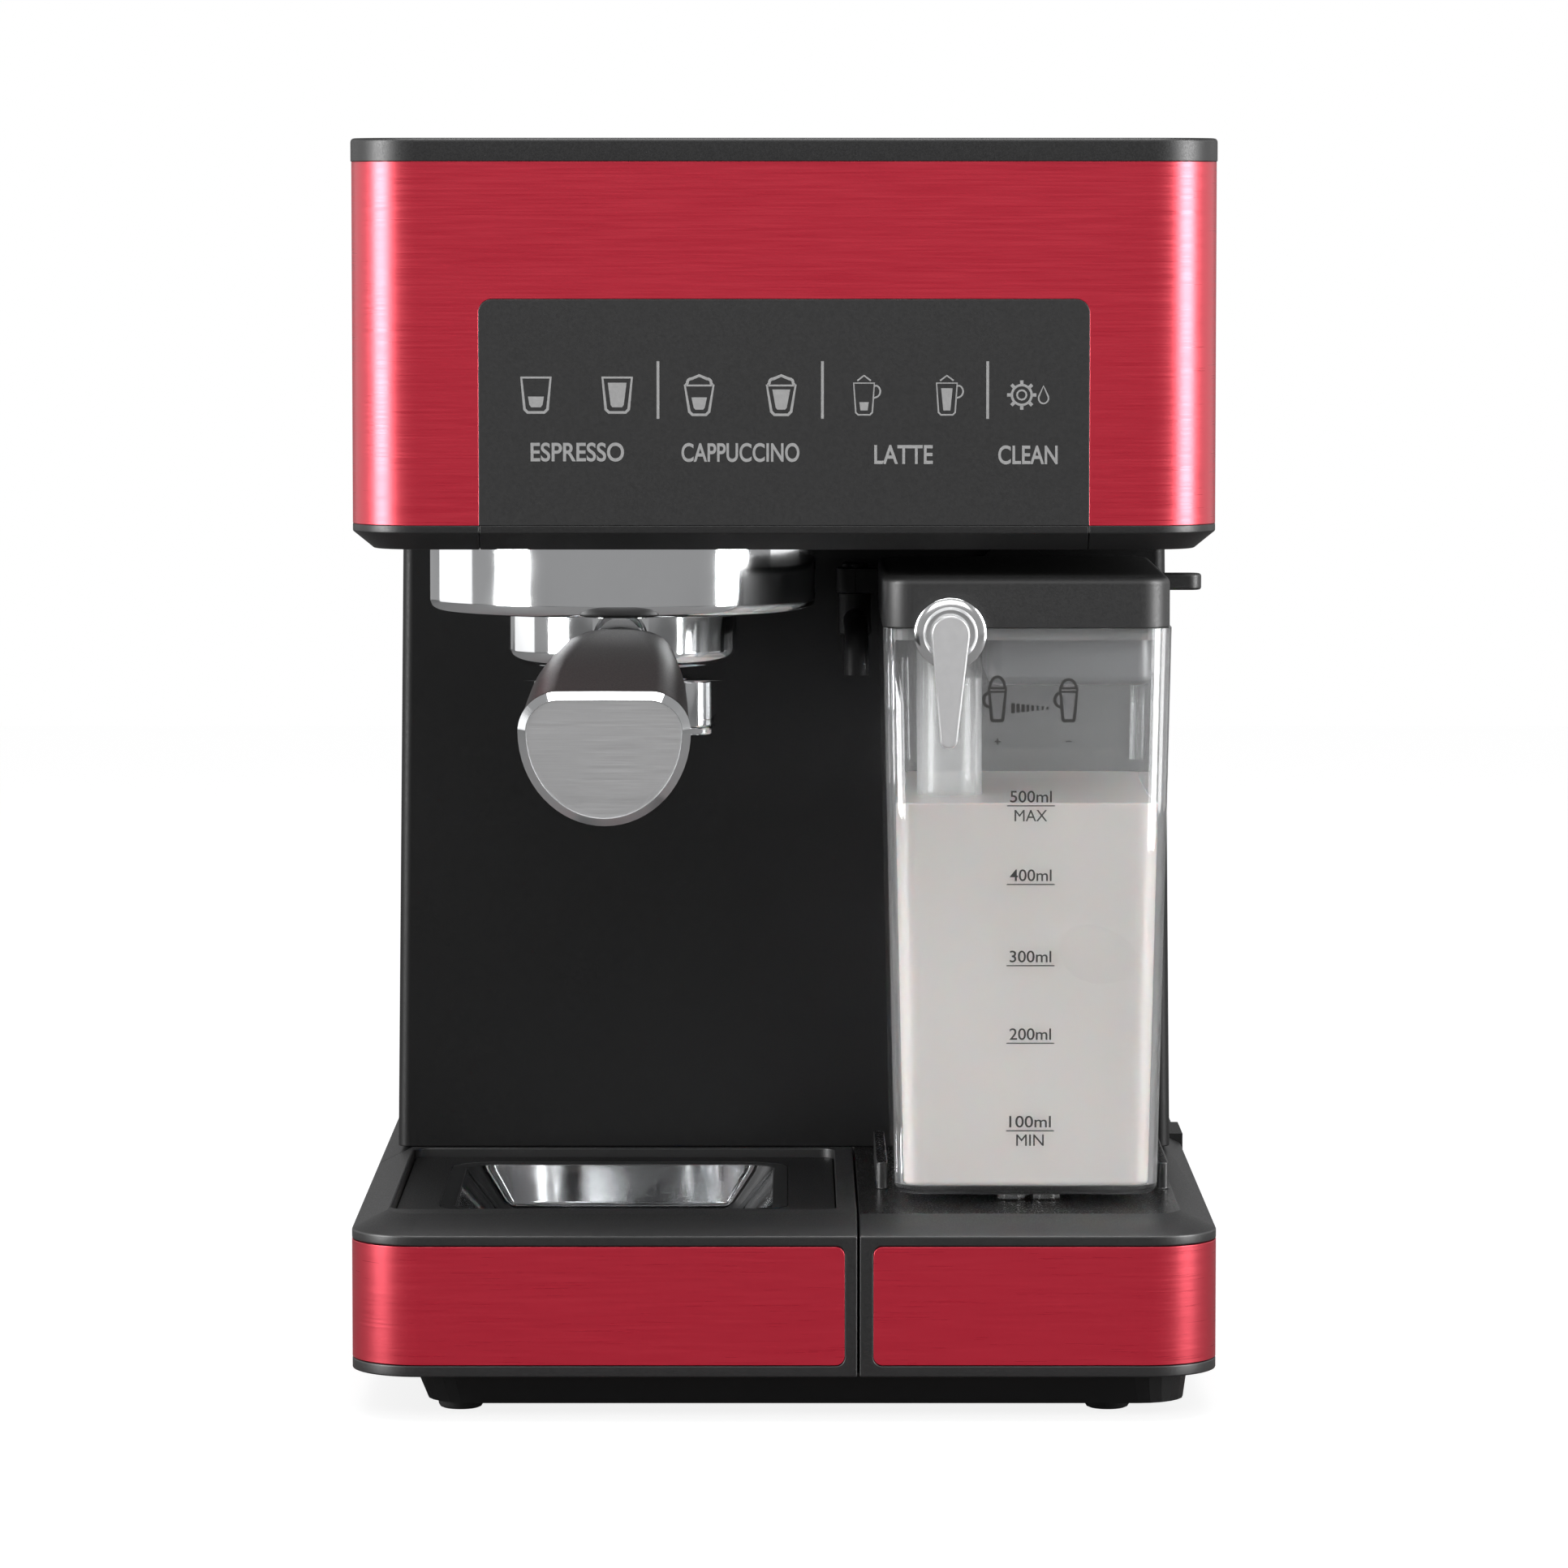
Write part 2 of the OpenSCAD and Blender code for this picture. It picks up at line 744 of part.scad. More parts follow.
module touch_board() {
    color(board_green)
        difference() {
            block(-70, 70, head_y + 4, head_y + 5.6, wrap_z0 + 6, panel_z1 - 6);
            for (x = [-66, 66], z = [wrap_z0 + 10, panel_z1 - 10])
                long_rod(x, z, head_y + 3, head_y + 7, 1.6);
        }
    // Spring pads behind the seven touch areas, and the plug
    color(steel)
        for (x = [-62.6, -42.1, -21.4, -0.7, 20.8, 41.7, 61.6])
            long_rod(x, 258.9, head_y + 5.6, head_y + 9, 4);
    color("ivory")
        block(-8, 8, head_y + 5.6, head_y + 12, 236, 243);
}

board_z = wrap_z1 - 18;

module main_board() {
    color(board_green)
        block(10, 92, -30, 70, board_z, board_z + 1.6);
    color("dimgray") {
        block(16, 34, 40, 58, board_z + 1.6, board_z + 15);
        block(38, 56, 40, 58, board_z + 1.6, board_z + 15);
        block(62, 86, 36, 60, board_z + 1.6, board_z + 12);
        block(20, 30, -20, -10, board_z + 1.6, board_z + 4);
    }
    color("darkslateblue")
        for (x = [44, 60, 76])
            post(x, 0, board_z + 1.6, board_z + 14, 5);
}

// ---- Brew group ----

head_ring_r = 45;
throat_r = holder_r + 1.2;
lug_r = 36.6;
lug_z0 = collar_z + 5.5;
lug_z1 = lug_z0 + 4.6;
channel_r = lug_r + 0.7;
holder_z1 = collar_z + 12;
seal_z0 = holder_z1 + 1.3;
seal_z1 = seal_z0 + 5;
head_top = bezel_z + 12;
screen_r = 24.6;

// Chrome skirt round the group
module group_collar() {
    color(chrome)
        turned([
            [39, collar_z], [collar_r - 2, collar_z], [collar_r - 0.6, collar_z + 0.6], [collar_r, collar_z + 2],
            [collar_r, bezel_z - 0.1], [collar_r - 1.6, bezel_z - 0.1], [collar_r - 1.6, collar_z + 2],
            [collar_r - 2.4, collar_z + 1.6], [39, collar_z + 1.6]
        ], group_x, group_y);
}

function sector(r0, r1, from, to) = concat(arc(0, 0, r1, from, to, 6), arc(0, 0, r0, to, from, 6));

// Cast head with the bayonet channel that the filter holder turns in and a chamber over the screen
module brew_head() {
    color(aluminium)
        difference() {
            union() {
                turned([
                    [0, seal_z1], [throat_r, seal_z1],
                    [throat_r, lug_z1 + 0.7], [channel_r, lug_z1 + 0.7], [channel_r, lug_z0 - 0.7],
                    [throat_r, lug_z0 - 0.7], [throat_r, collar_z + 2.2], [head_ring_r, collar_z + 2.2],
                    [head_ring_r, head_top], [0, head_top]
                ], group_x, group_y);
                // Boss that the shower screen is screwed to
                post(group_x, group_y, holder_z1 + 0.6, seal_z1 + 1, screen_r);
            }
            translate([group_x, group_y, 0])
                for (a = [-45, 135])
                    slab(sector(throat_r - 1, channel_r, a - 15, a + 15), collar_z + 1, lug_z0);
            post(group_x, group_y, seal_z1 + 2, seal_z1 + 4, 17);
            post(group_x, group_y, seal_z1 + 3, head_top + 1, 3);
            post(group_x, group_y, holder_z1, seal_z1 + 1, 1.7);
            for (a = [0:60:300])
                post(group_x + 14 * cos(a), group_y + 14 * sin(a), holder_z1, seal_z1 + 3, 1.5);
            for (a = [30:60:330])
                post(group_x + 38 * cos(a), group_y + 38 * sin(a), head_top - 8, head_top + 1, 1.6);
        }
}

module group_gasket() {
    color(rubber)
        turned([
            [screen_r + 0.6, seal_z0], [throat_r - 0.1, seal_z0], [throat_r - 0.1, seal_z1],
            [screen_r + 0.6, seal_z1]
        ], group_x, group_y);
}

screen_z = holder_z1 - 1.4;

module shower_screen() {
    color(steel)
        difference() {
            turned([
                [1.8, screen_z], [screen_r - 1, screen_z], [screen_r, screen_z + 0.8],
                [screen_r, screen_z + 1.9], [1.8, screen_z + 1.9]
            ], group_x, group_y);
            for (ring = [1:4], k = [0:5 * ring])
                let (a = 360 * k / (5 * ring + 1), r = 4.6 * ring + 0.6)
                    post(group_x + r * cos(a), group_y + r * sin(a), screen_z - 1, screen_z + 3, 0.7);
        }
}

module screen_screw() {
    color(steel)
        difference() {
            turned([
                [0, screen_z - 1.8], [3.4, screen_z - 1.8], [4.2, screen_z], [1.6, screen_z],
                [1.6, screen_z + 7], [0, screen_z + 7]
            ], group_x, group_y);
            block(group_x - 5, group_x + 5, group_y - 0.5, group_y + 0.5, screen_z - 3, screen_z - 0.9);
        }
}

// ---- Filter holder ----

holder_z0 = 189;
holder_wall = 2.2;
spout_z0 = 171;
spout_z1 = 184;
outlet_r = 9;
handle_start = group_y - holder_r - 10;
handle_end = y_front - handle_reach;
neck_z = 196;
cap_z = 174.1;
cap_w = 41.5;
cap_h = 33;
cap_tilt = 8;
cap_x = group_x - 1.1;

module portafilter_body() {
    color(chrome)
        difference() {
            union() {
                turned([
                    [outlet_r - 4, spout_z1 + 0.1], [outlet_r, spout_z1 + 0.1], [outlet_r, holder_z0 - 2.6],
                    [holder_r - 6, holder_z0 - 1.6], [holder_r - 1.4, holder_z0], [holder_r, holder_z0 + 1.6],
                    [holder_r, holder_z1], [holder_r - holder_wall, holder_z1],
                    [holder_r - holder_wall, holder_z0 + 2.4], [outlet_r - 4, holder_z0 + 0.4]
                ], group_x, group_y);
                translate([group_x, group_y, 0])
                    for (a = [0, 180])
                        slab(sector(holder_r - 1, lug_r, a - 13, a + 13), lug_z0, lug_z1);
                // Boss that the handle's neck grows from
                long_rod(group_x, neck_z, group_y - holder_r - 3.4, group_y - holder_r + 1.5, 7);
            }
            long_rod(group_x, neck_z, group_y - holder_r - 4, group_y - holder_r - 1, 2.6);
        }
}

// Turned neck between the cup and the handle
module handle_ferrule() {
    color(chrome)
        translate([group_x, group_y - holder_r - 3.4, neck_z])
            rotate([90, 0, 0])
                rotate_extrude($fn = 48)
                    polygon([
                        [0, -2], [2.5, -2], [2.5, 0], [6.4, 0], [6.4, 1.2], [4.6, 2.4],
                        [4.6, 5], [5.6, 6.6], [0, 6.6]
                    ]);
}

// The handle's section: a flat top with round shoulders over a deep round belly
function d_outline(w, h, steps = 6) = let (r = 0.3 * h) concat(
    arc(w / 2 - r, h / 2 - r, r, 0, 90, 3),
    arc(r - w / 2, h / 2 - r, r, 90, 180, 3),
    [for (i = [1:2 * steps - 1]) let (a = 180 + 180 * i / (2 * steps))
        [w / 2 * cos(a), h / 2 - r + (h - r) * sin(a)]]);

module handle_section(at, w, h, z, t = eps) {
    far = (at - handle_start) / (handle_end - handle_start);
    translate([group_x + (cap_x - group_x) * far, at, z])
        rotate([90 + cap_tilt, 0, 0])
            linear_extrude(t)
                polygon(d_outline(w, h));
}

// Stations along the handle: how far along, width, height, height of the middle
handle_stations = [
    [0.008, 13, 11, neck_z - 0.4], [0.05, 24, 14, neck_z - 2], [0.1, 26.5, 17.2, neck_z - 3], [0.2, 29.5, 22.5, neck_z - 4.3],
    [0.62, 37, 29, neck_z - 13.8], [0.954, cap_w - 0.6, cap_h - 0.6, cap_z + 0.6]
];

module portafilter_handle() {
    reach = handle_end - handle_start;
    color(black_plastic)
        for (i = [0:len(handle_stations) - 2])
            hull()
                for (s = [handle_stations[i], handle_stations[i + 1]])
                    handle_section(handle_start + reach * s[0], s[1], s[2], s[3]);
}

module handle_cap() {
    // The cap leans with the handle, so its top edge reaches furthest forward
    lean_out = cap_h / 2 * sin(cap_tilt);
    color(brushed)
        handle_section(handle_end + lean_out + 3.2, cap_w, cap_h, cap_z + 0.2, 3.2);
}

module filter_basket() {
    color(steel)
        difference() {
            turned([
                [0, holder_z0 + 3.2], [23, holder_z0 + 3.2], [26.4, holder_z0 + 8],
                [26.4, holder_z1 - 0.1], [holder_r - 0.4, holder_z1 + 0.1], [holder_r - 0.4, holder_z1 + 0.9],
                [25.8, holder_z1 + 0.9], [25.8, holder_z0 + 8.2], [22.6, holder_z0 + 3.9], [0, holder_z0 + 3.9]
            ], group_x, group_y);
            for (ring = [1:4], k = [0:6 * ring - 1])
                let (a = 360 * k / (6 * ring), r = 4.8 * ring)
                    post(group_x + r * cos(a), group_y + r * sin(a), holder_z0, holder_z0 + 6, 0.6);
        }
}

// Wire ring that holds the basket in the cup
module basket_spring() {
    color(steel)
        translate([group_x, group_y, holder_z1 - 6])
            rotate_extrude(angle = 320, $fn = 72)
                translate([26.98, 0])
                    circle(r = 0.5, $fn = 16);
}

module double_spout() {
    color(chrome)
        difference() {
            union() {
                slab(
                    plate_outline(group_x - 23.3, group_x + 23.3, group_y - 8.5, group_y + 8.5, 7, 7),
                    spout_z0, spout_z1 - 3);
                slab(
                    plate_outline(group_x - 17, group_x + 17, group_y - 8.5, group_y + 8.5, 5, 5),
                    spout_z1 - 3, spout_z1);
                for (x = [-18.8, 18.8])
                    post(group_x + x, group_y, spout_z0 - 2.2, spout_z0 + 2, 4.6);
            }
            post(group_x, group_y, spout_z1 - 8, spout_z1 + 1, 4.8);
            cross_rod(group_y, spout_z1 - 6.5, group_x - 19, group_x + 19, 2.8);
            for (x = [-18.8, 18.8])
                post(group_x + x, group_y, spout_z0 - 3, spout_z1 - 6.5, 3);
        }
}

// ---- Milk tank ----

module milk_space(wall, z0, z1) {
    hull() {
        slab(
            plate_outline(
                milk_x0 + milk_lean + wall, milk_x1 - milk_lean - wall,
                milk_y0 + 1.2 + wall, milk_y1 - 1.2 - wall, 7 - wall, 7 - wall),
            z0, z0 + eps);
        slab(
            plate_outline(milk_x0 + wall, milk_x1 - wall, milk_y0 + wall, milk_y1 - wall, 8 - wall, 8 - wall),
            z1 - eps, z1);
    }
}

module milk_tank() {
    color(clear)
        difference() {
            union() {
                milk_space(0, milk_floor_z, milk_mouth_z);
                // Feet that find the base's deck
                for (x = [milk_mid - 3.5, milk_mid + 5.5])
                    post(x, milk_y0 + 14, rim_z + 0.3, milk_floor_z + 1, 3.4);
            }
            milk_space(clear_wall, milk_floor_z + clear_wall + 0.8, milk_mouth_z + eps);
            long_rod(knob_x, knob_z, milk_y0 - 1, milk_y0 + 8, 6.9);
        }
}

spout_pivot = [19, column_y - 15];
spout_reach = 44;
lever_pivot = [84, -2];
lever_z0 = 205.7;
lever_z1 = 210;
lid_wall = 2.2;
lid_z0 = milk_mouth_z + 0.2;

module milk_lid() {
    color(black_plastic)
        difference() {
            union() {
                difference() {
                    union() {
                        slab(
                            plate_outline(milk_x0 - 0.1, milk_x1 - 0.5, milk_y0 - 0.4, milk_y1 + 0.4, 8, 6),
                            lid_z0, milk_lid_z - 2);
                        hull() {
                            slab(
                                plate_outline(milk_x0 - 0.1, milk_x1 - 0.5, milk_y0 - 0.4, milk_y1 + 0.4, 8, 6),
                                milk_lid_z - 2 - eps, milk_lid_z - 2);
                            slab(
                                plate_outline(milk_x0 + 1.7, milk_x1 - 2.3, milk_y0 + 1.4, milk_y1 - 1.4, 6, 4),
                                milk_lid_z - eps, milk_lid_z);
                        }
                    }
                    slab(
                        plate_outline(
                            milk_x0 + lid_wall, milk_x1 - 0.5 - lid_wall,
                            milk_y0 + lid_wall, milk_y1 - lid_wall, 5, 4),
                        lid_z0 + 2.2, milk_lid_z - 2.2);
                }
                // Valve boss behind the froth knob
                long_rod(knob_x, knob_z, milk_y0 - 0.4, milk_y0 + 22, 6.6);
                // Arm that carries the milk spout's pivot
                block(spout_pivot[0], milk_x0 + 1, spout_pivot[1] - 5, spout_pivot[1] + 5, 203.4, 210);
                post(spout_pivot[0], spout_pivot[1], 203.4, 210, 5);
                // Post that the spout lever turns on
                post(lever_pivot[0], lever_pivot[1], lid_z0 + 1, milk_lid_z - 1, 2.95);
                // Boss that the steam coupler is screwed into
                long_rod(socket_x, steam_z, milk_y1 - 14, milk_y1 - 1, 5.3);
            }
            long_rod(knob_x, knob_z, milk_y0 - 1, milk_y0 + 12, 3.6);
            post(spout_pivot[0], spout_pivot[1], 203, 211, 2.05);
            // Slot that the spout lever sweeps
            block(milk_x1 - 4, milk_x1 + 1, lever_pivot[1] - 25, lever_pivot[1] + 5, lever_z0 - 0.4, lever_z1 + 0.4);
            long_rod(socket_x, steam_z, milk_y1 - 10, milk_y1 + 1, 3.05);
        }
}

module lid_gasket() {
    color(silicone)
        difference() {
            slab(
                plate_outline(
                    milk_x0 + clear_wall + 0.2, milk_x1 - clear_wall - 0.2,
                    milk_y0 + clear_wall + 0.2, milk_y1 - clear_wall - 0.2, 5.5, 5.5),
                milk_mouth_z - 3, lid_z0);
            slab(
                plate_outline(
                    milk_x0 + clear_wall + 2, milk_x1 - clear_wall - 2,
                    milk_y0 + clear_wall + 2, milk_y1 - clear_wall - 2, 4, 4),
                milk_mouth_z - 4, lid_z0 + 1);
            long_rod(knob_x, knob_z, milk_y0 - 1, milk_y0 + 8, 6.8);
        }
}

chamber_x0 = 51.8;
chamber_x1 = 94;
chamber_z0 = 184.7;

// Chamber under the lid where steam draws in milk and air
module froth_chamber() {
    color(grey_plastic)
        difference() {
            slab(plate_outline(chamber_x0, chamber_x1, milk_y0 + 7, milk_y1 - 8, 4, 4), chamber_z0, lid_z0);
            slab(plate_outline(chamber_x0 + 2, chamber_x1 - 2, milk_y0 + 9, milk_y1 - 10, 3, 3), chamber_z0 + 2, lid_z0 + 1);
        }
}

tube_x = 42.7;
tube_y = milk_y0 + 34;
tube_z0 = 61;

module intake_tube() {
    color(clear)
        difference() {
            post(tube_x, tube_y, tube_z0, lid_z0, 8.5);
            post(tube_x, tube_y, tube_z0 - 1, lid_z0 - 3, 7);
            block(tube_x - 3, tube_x + 3, tube_y - 10, tube_y + 10, tube_z0 - 1, tube_z0 + 5);
        }
}

// Nipple at the back of the lid that the steam comes in by
module steam_coupler() {
    color(steel)
        difference() {
            union() {
                long_rod(socket_x, steam_z, milk_y1 - 9, milk_y1 + 0.4, 3);
                long_rod(socket_x, steam_z, milk_y1 + 0.4, column_y + 5, 4.5);
            }
            long_rod(socket_x, steam_z, milk_y1 - 10, column_y + 6, 1.6);
        }
}

knob_r = 9.2;

// Chrome knob with the lever that sets how much froth is made
module froth_lever() {
    color(chrome) {
        long_rod(knob_x, knob_z, milk_y0 - 3.4, milk_y0 - 0.7, knob_r);
        long_rod(knob_x, knob_z, milk_y0 - 1, milk_y0 + 11.6, 3.55);
        front_plate(
            concat(
                arc(knob_x, knob_z, 4.9, 0, 180, 10),
                arc(knob_x - 0.4, knob_z - froth_lever_len + 2.2, 2.2, 180, 360, 8)),
            milk_y0 - 6.4, milk_y0 - 3.4);
    }
}

module spout_lever() {
    color(black_plastic)
        difference() {
            union() {
                post(lever_pivot[0], lever_pivot[1], lever_z0, lever_z1, 7);
                slab(
                    plate_outline(lever_pivot[0], half_w, lever_pivot[1] - 4, lever_pivot[1] + 4, 3.5, 3.5),
                    lever_z0, lever_z1);
            }
            post(lever_pivot[0], lever_pivot[1], lever_z0 - 1, lever_z1 + 1, 3);
        }
}

// Bent tube that pours the frothed milk; it swings out under the group
module milk_spout() {
    x = spout_pivot[0];
    y = spout_pivot[1];
    color(dark_plastic)
        difference() {
            union() {
                post(x, y, 192, 203.1, 4.4);
                post(x, y, 203.1, 211.5, 2);
                post(x, y, 210.3, 211.5, 3.4);
                long_rod(x, 196, y - spout_reach, y, 3.2);
                post(x, y - spout_reach, 184, 196, 3.2);
                translate([x, y - spout_reach, 196])
                    sphere(r = 3.2);
            }
            long_rod(x, 196, y - spout_reach, y - 2, 1.8);
            post(x, y - spout_reach, 183, 196, 1.8);
        }
}

module steam_socket() {
    color(steel)
        difference() {
            union() {
                long_rod(socket_x, steam_z, column_y - 2, column_y, 11);
                long_rod(socket_x, steam_z, column_y, column_y + 12, 8);
                long_rod(socket_x, steam_z, column_y + 12, column_y + 18, 3.4);
            }
            long_rod(socket_x, steam_z, column_y - 3, column_y + 8, 4.55);
            long_rod(socket_x, steam_z, column_y, column_y + 19, 1.6);
        }
}

// ---- Water tank ----

water_half = 106;
water_z0 = rim_z + 0.5;
water_z1 = wrap_z1 - 2.1;
pin_y = y_back - 3.5;
pin_z = wrap_z1 + 2.9;
pin_r = 1.25;
ear_x = 94.5;

module water_outline_slab(wall, z0, z1) {
    slab(
        plate_outline(
            wall - water_half, water_half - wall, water_y + wall, y_back - wall,
            4 - wall, corner_r - 2 - wall),
        z0, z1);
}

module water_tank() {
    color(smoke)
        difference() {
            union() {
                water_outline_slab(0, water_z0, water_z1);
                both_sides() {
                    block(ear_x - 2.5, ear_x + 2.5, pin_y - 2.8, pin_y + 2.8, water_z1 - 20, pin_z);
                    cross_rod(pin_y, pin_z, ear_x - 2.5, ear_x + 2.5, 2.8);
                }
            }
            difference() {
                water_outline_slab(clear_wall, water_z0 + clear_wall + 0.6, water_z1 + 1);
                both_sides()
                    block(ear_x - 2.5, ear_x + 2.5, pin_y - 2.8, pin_y + 2.8, water_z1 - 20, pin_z);
            }
            post(0, seat_y, water_z0 - 1, water_z0 + 6, 9.05);
            both_sides()
                cross_rod(pin_y, pin_z, ear_x - 4, ear_x + 4, pin_r + 0.03);
        }
}

// Spring valve that opens when the tank is set down on its seat
module tank_valve() {
    color(grey_plastic)
        difference() {
            turned([
                [0, rim_z - 4], [5.8, rim_z - 4], [5.8, water_z0], [9, water_z0], [9, water_z0 + 3],
                [11.5, water_z0 + 3], [11.5, water_z0 + 4.6], [8, water_z0 + 4.6], [8, water_z0 + 11], [0, water_z0 + 11]
            ], 0, seat_y);
            post(0, seat_y, rim_z - 5, water_z0 + 9, 3.2);
            for (a = [0, 90])
                translate([0, seat_y, water_z0 + 7])
                    rotate([0, 0, a])
                        block(-9, 9, -1.6, 1.6, 0, 2.6);
        }
    color(steel)
        post(0, seat_y, rim_z - 2.5, water_z0 + 7, 1.5);
    color(steel)
        difference() {
            post(0, seat_y, rim_z - 2.5, rim_z - 1, 3.1);
            post(0, seat_y, rim_z - 3, rim_z, 1.45);
        }
}

module lid_pins() {
    color(steel)
        both_sides()
            cross_rod(pin_y, pin_z, ear_x - 9, ear_x + 9, pin_r);
}

module water_tank_lid() {
    color(panel_black)
        difference() {
            union() {
                slab(
                    plate_outline(-half_w - 0.2, half_w + 0.2, head_back + 0.4, y_back, 0, corner_r),
                    wrap_z1, machine_h - 1);
                hull() {
                    slab(
                        plate_outline(-half_w - 0.2, half_w + 0.2, head_back + 0.4, y_back, 0, corner_r),
                        machine_h - 1 - eps, machine_h - 1);
                    slab(
                        plate_outline(-half_w + 0.8, half_w - 0.8, head_back + 0.4, y_back - 1, 0, corner_r - 1),
                        machine_h - eps, machine_h);
                }
                // Tongue that drops inside the tank's front wall
                block(-80, 80, water_y + clear_wall + 0.5, water_y + clear_wall + 2.5, wrap_z1 - 8, wrap_z1 + 1);
            }
            both_sides() {
                block(ear_x - 2.9, ear_x + 2.9, pin_y - 4.5, y_back + 1, wrap_z1 - 1, machine_h + 1);
                cross_rod(pin_y, pin_z, ear_x - 10, ear_x + 10, pin_r + 0.06);
            }
            // Finger scoop at the front edge
            translate([0, head_back + 0.4, machine_h + 8])
                sphere(r = 14, $fn = 64);
        }
}

// Socket in the base that the tank's valve drops into
module tank_seat() {
    color(dark_plastic)
        turned([
            [6.3, rim_z - 9], [seat_r, rim_z - 9], [seat_r, rim_z], [seat_r - 2, rim_z],
            [seat_r - 3, rim_z - 1.2], [6.3, rim_z - 2]
        ], 0, seat_y);
    color(dark_plastic)
        difference() {
            post(0, seat_y, rim_z - 18, rim_z - 9, 8);
            post(0, seat_y, rim_z - 12, rim_z - 8, 6.3);
            post(0, seat_y, rim_z - 19, rim_z - 8, 2.5);
        }
}

// ---- Water and steam works ----

pump_x = -45;
pump_y = column_y + 36;
pump_z = 120;
boiler_x0 = -84;
boiler_x1 = 0;
boiler_z0 = head_top + 3;
boiler_z1 = boiler_z0 + 26;

// Vibration pump, upright in the column
module pump() {
    color("dimgray")
        difference() {
            union() {
                block(pump_x - 21, pump_x + 21, pump_y - 17, pump_y + 17, pump_z - 22, pump_z + 22);
                post(pump_x, pump_y, pump_z - 48, pump_z + 42, 11);
            }
            post(pump_x, pump_y, pump_z - 49, pump_z - 30, 8);
        }
    color(brass) {
        post(pump_x, pump_y, pump_z + 42, pump_z + 52, 6);
        post(pump_x, pump_y, pump_z + 52, pump_z + 62, 3.2);
    }
    color("silver")
        difference() {
            post(pump_x, pump_y, pump_z - 60, pump_z - 32, 3.2);
            post(pump_x, pump_y, pump_z - 61, pump_z - 45, 2);
        }
}

module pump_mounts() {
    color(rubber)
        for (z = [pump_z - 40, pump_z + 32])
            difference() {
                union() {
                    post(pump_x, pump_y, z - 4, z + 4, 15);
                    block(pump_x - 4, pump_x + 4, column_y + casing_wall + 2.6, pump_y, z - 4, z + 4);
                }
                post(pump_x, pump_y, z - 5, z + 5, 11.05);
            }
}

// Cast block that heats the water above the group
module boiler() {
    color(aluminium)
        difference() {
            union() {
                slab(
                    plate_outline(boiler_x0, boiler_x1, group_y - 34, group_y + 44, 10, 10),
                    boiler_z0, boiler_z1);
                for (i = [0:4])
                    block(boiler_x0 + 12 + 14 * i, boiler_x0 + 16 + 14 * i, group_y - 30, group_y + 40, boiler_z1, boiler_z1 + 5);
                post(group_x, group_y, head_top, boiler_z0 + 1, 9);
            }
            post(group_x, group_y, head_top - 1, boiler_z0 + 8, 3);
        }
    // Heating element's ends
    color(steel)
        for (x = [boiler_x0 + 20, boiler_x1 - 20])
            long_rod(x, boiler_z0 + 13, group_y + 44, group_y + 58, 3.3);
}

module thermal_fuses() {
    color("white")
        for (x = [boiler_x0 + 21, boiler_x0 + 63])
            post(x, group_y + 4, boiler_z1, boiler_z1 + 7, 5);
    color("silver")
        for (x = [boiler_x0 + 21, boiler_x0 + 63])
            post(x, group_y + 4, boiler_z1 + 7, boiler_z1 + 8, 7.5);
}

valve_x = 40;
valve_y = column_y + 30;
valve_z = 245;

module solenoid_valve() {
    color(brass)
        difference() {
            block(valve_x - 13, valve_x + 13, valve_y - 10, valve_y + 10, valve_z - 12, valve_z + 4);
            cross_rod(valve_y, valve_z - 4, valve_x - 14, valve_x - 4, 2);
        }
    color("dimgray")
        block(valve_x - 15, valve_x + 15, valve_y - 13, valve_y + 13, valve_z + 4, valve_z + 38);
    color(steel)
        post(valve_x, valve_y, valve_z + 38, valve_z + 44, 4.5);
}

meter_x = 26;
meter_y = seat_y - 46;

module flow_meter() {
    color("ghostwhite") {
        post(meter_x, meter_y, 16, 32, 14);
        cross_rod(meter_y, 26, meter_x - 24, meter_x - 12, 3);
    }
    color("ghostwhite")
        long_rod(meter_x, 22, meter_y + 12, meter_y + 24, 3);
}

// Hoses: stations picked along the run
module suction_hose() {
    color(silicone)
        hose([
            [0, seat_y, rim_z - 18.4], [0, seat_y, rim_z - 23], [6, seat_y - 6, 24], [20, seat_y - 14, 22],
            [meter_x, meter_y + 30, 22], [meter_x, meter_y + 24.4, 22]
        ], 3.4);
    color(silicone)
        hose([
            [meter_x - 24.4, meter_y, 26], [meter_x - 32, meter_y, 26], [-20, meter_y - 4, 27],
            [-38, pump_y, 36], [pump_x, pump_y, 48], [pump_x, pump_y, pump_z - 60.4]
        ], 3.4);
}

module pressure_pipe() {
    color("white")
        hose([
            [pump_x, pump_y, pump_z + 62.3], [pump_x, pump_y, pump_z + 74], [-40, pump_y - 2, 212],
            [-22, pump_y - 2, 230], [0, valve_y, valve_z - 8], [valve_x - 20, valve_y, valve_z - 4],
            [valve_x - 13.3, valve_y, valve_z - 4]
        ], 2.2);
}

module steam_pipe() {
    color("white")
        hose([
            [boiler_x1 + 0.5, group_y + 10, boiler_z0 + 12], [boiler_x1 + 8, group_y + 10, boiler_z0 + 12],
            [22, group_y + 34, boiler_z0 + 6], [46, column_y + 15, 229], [socket_x, column_y + 28, 214],
            [socket_x, column_y + 26, steam_z], [socket_x, column_y + 18.4, steam_z]
        ], 2.6);
}

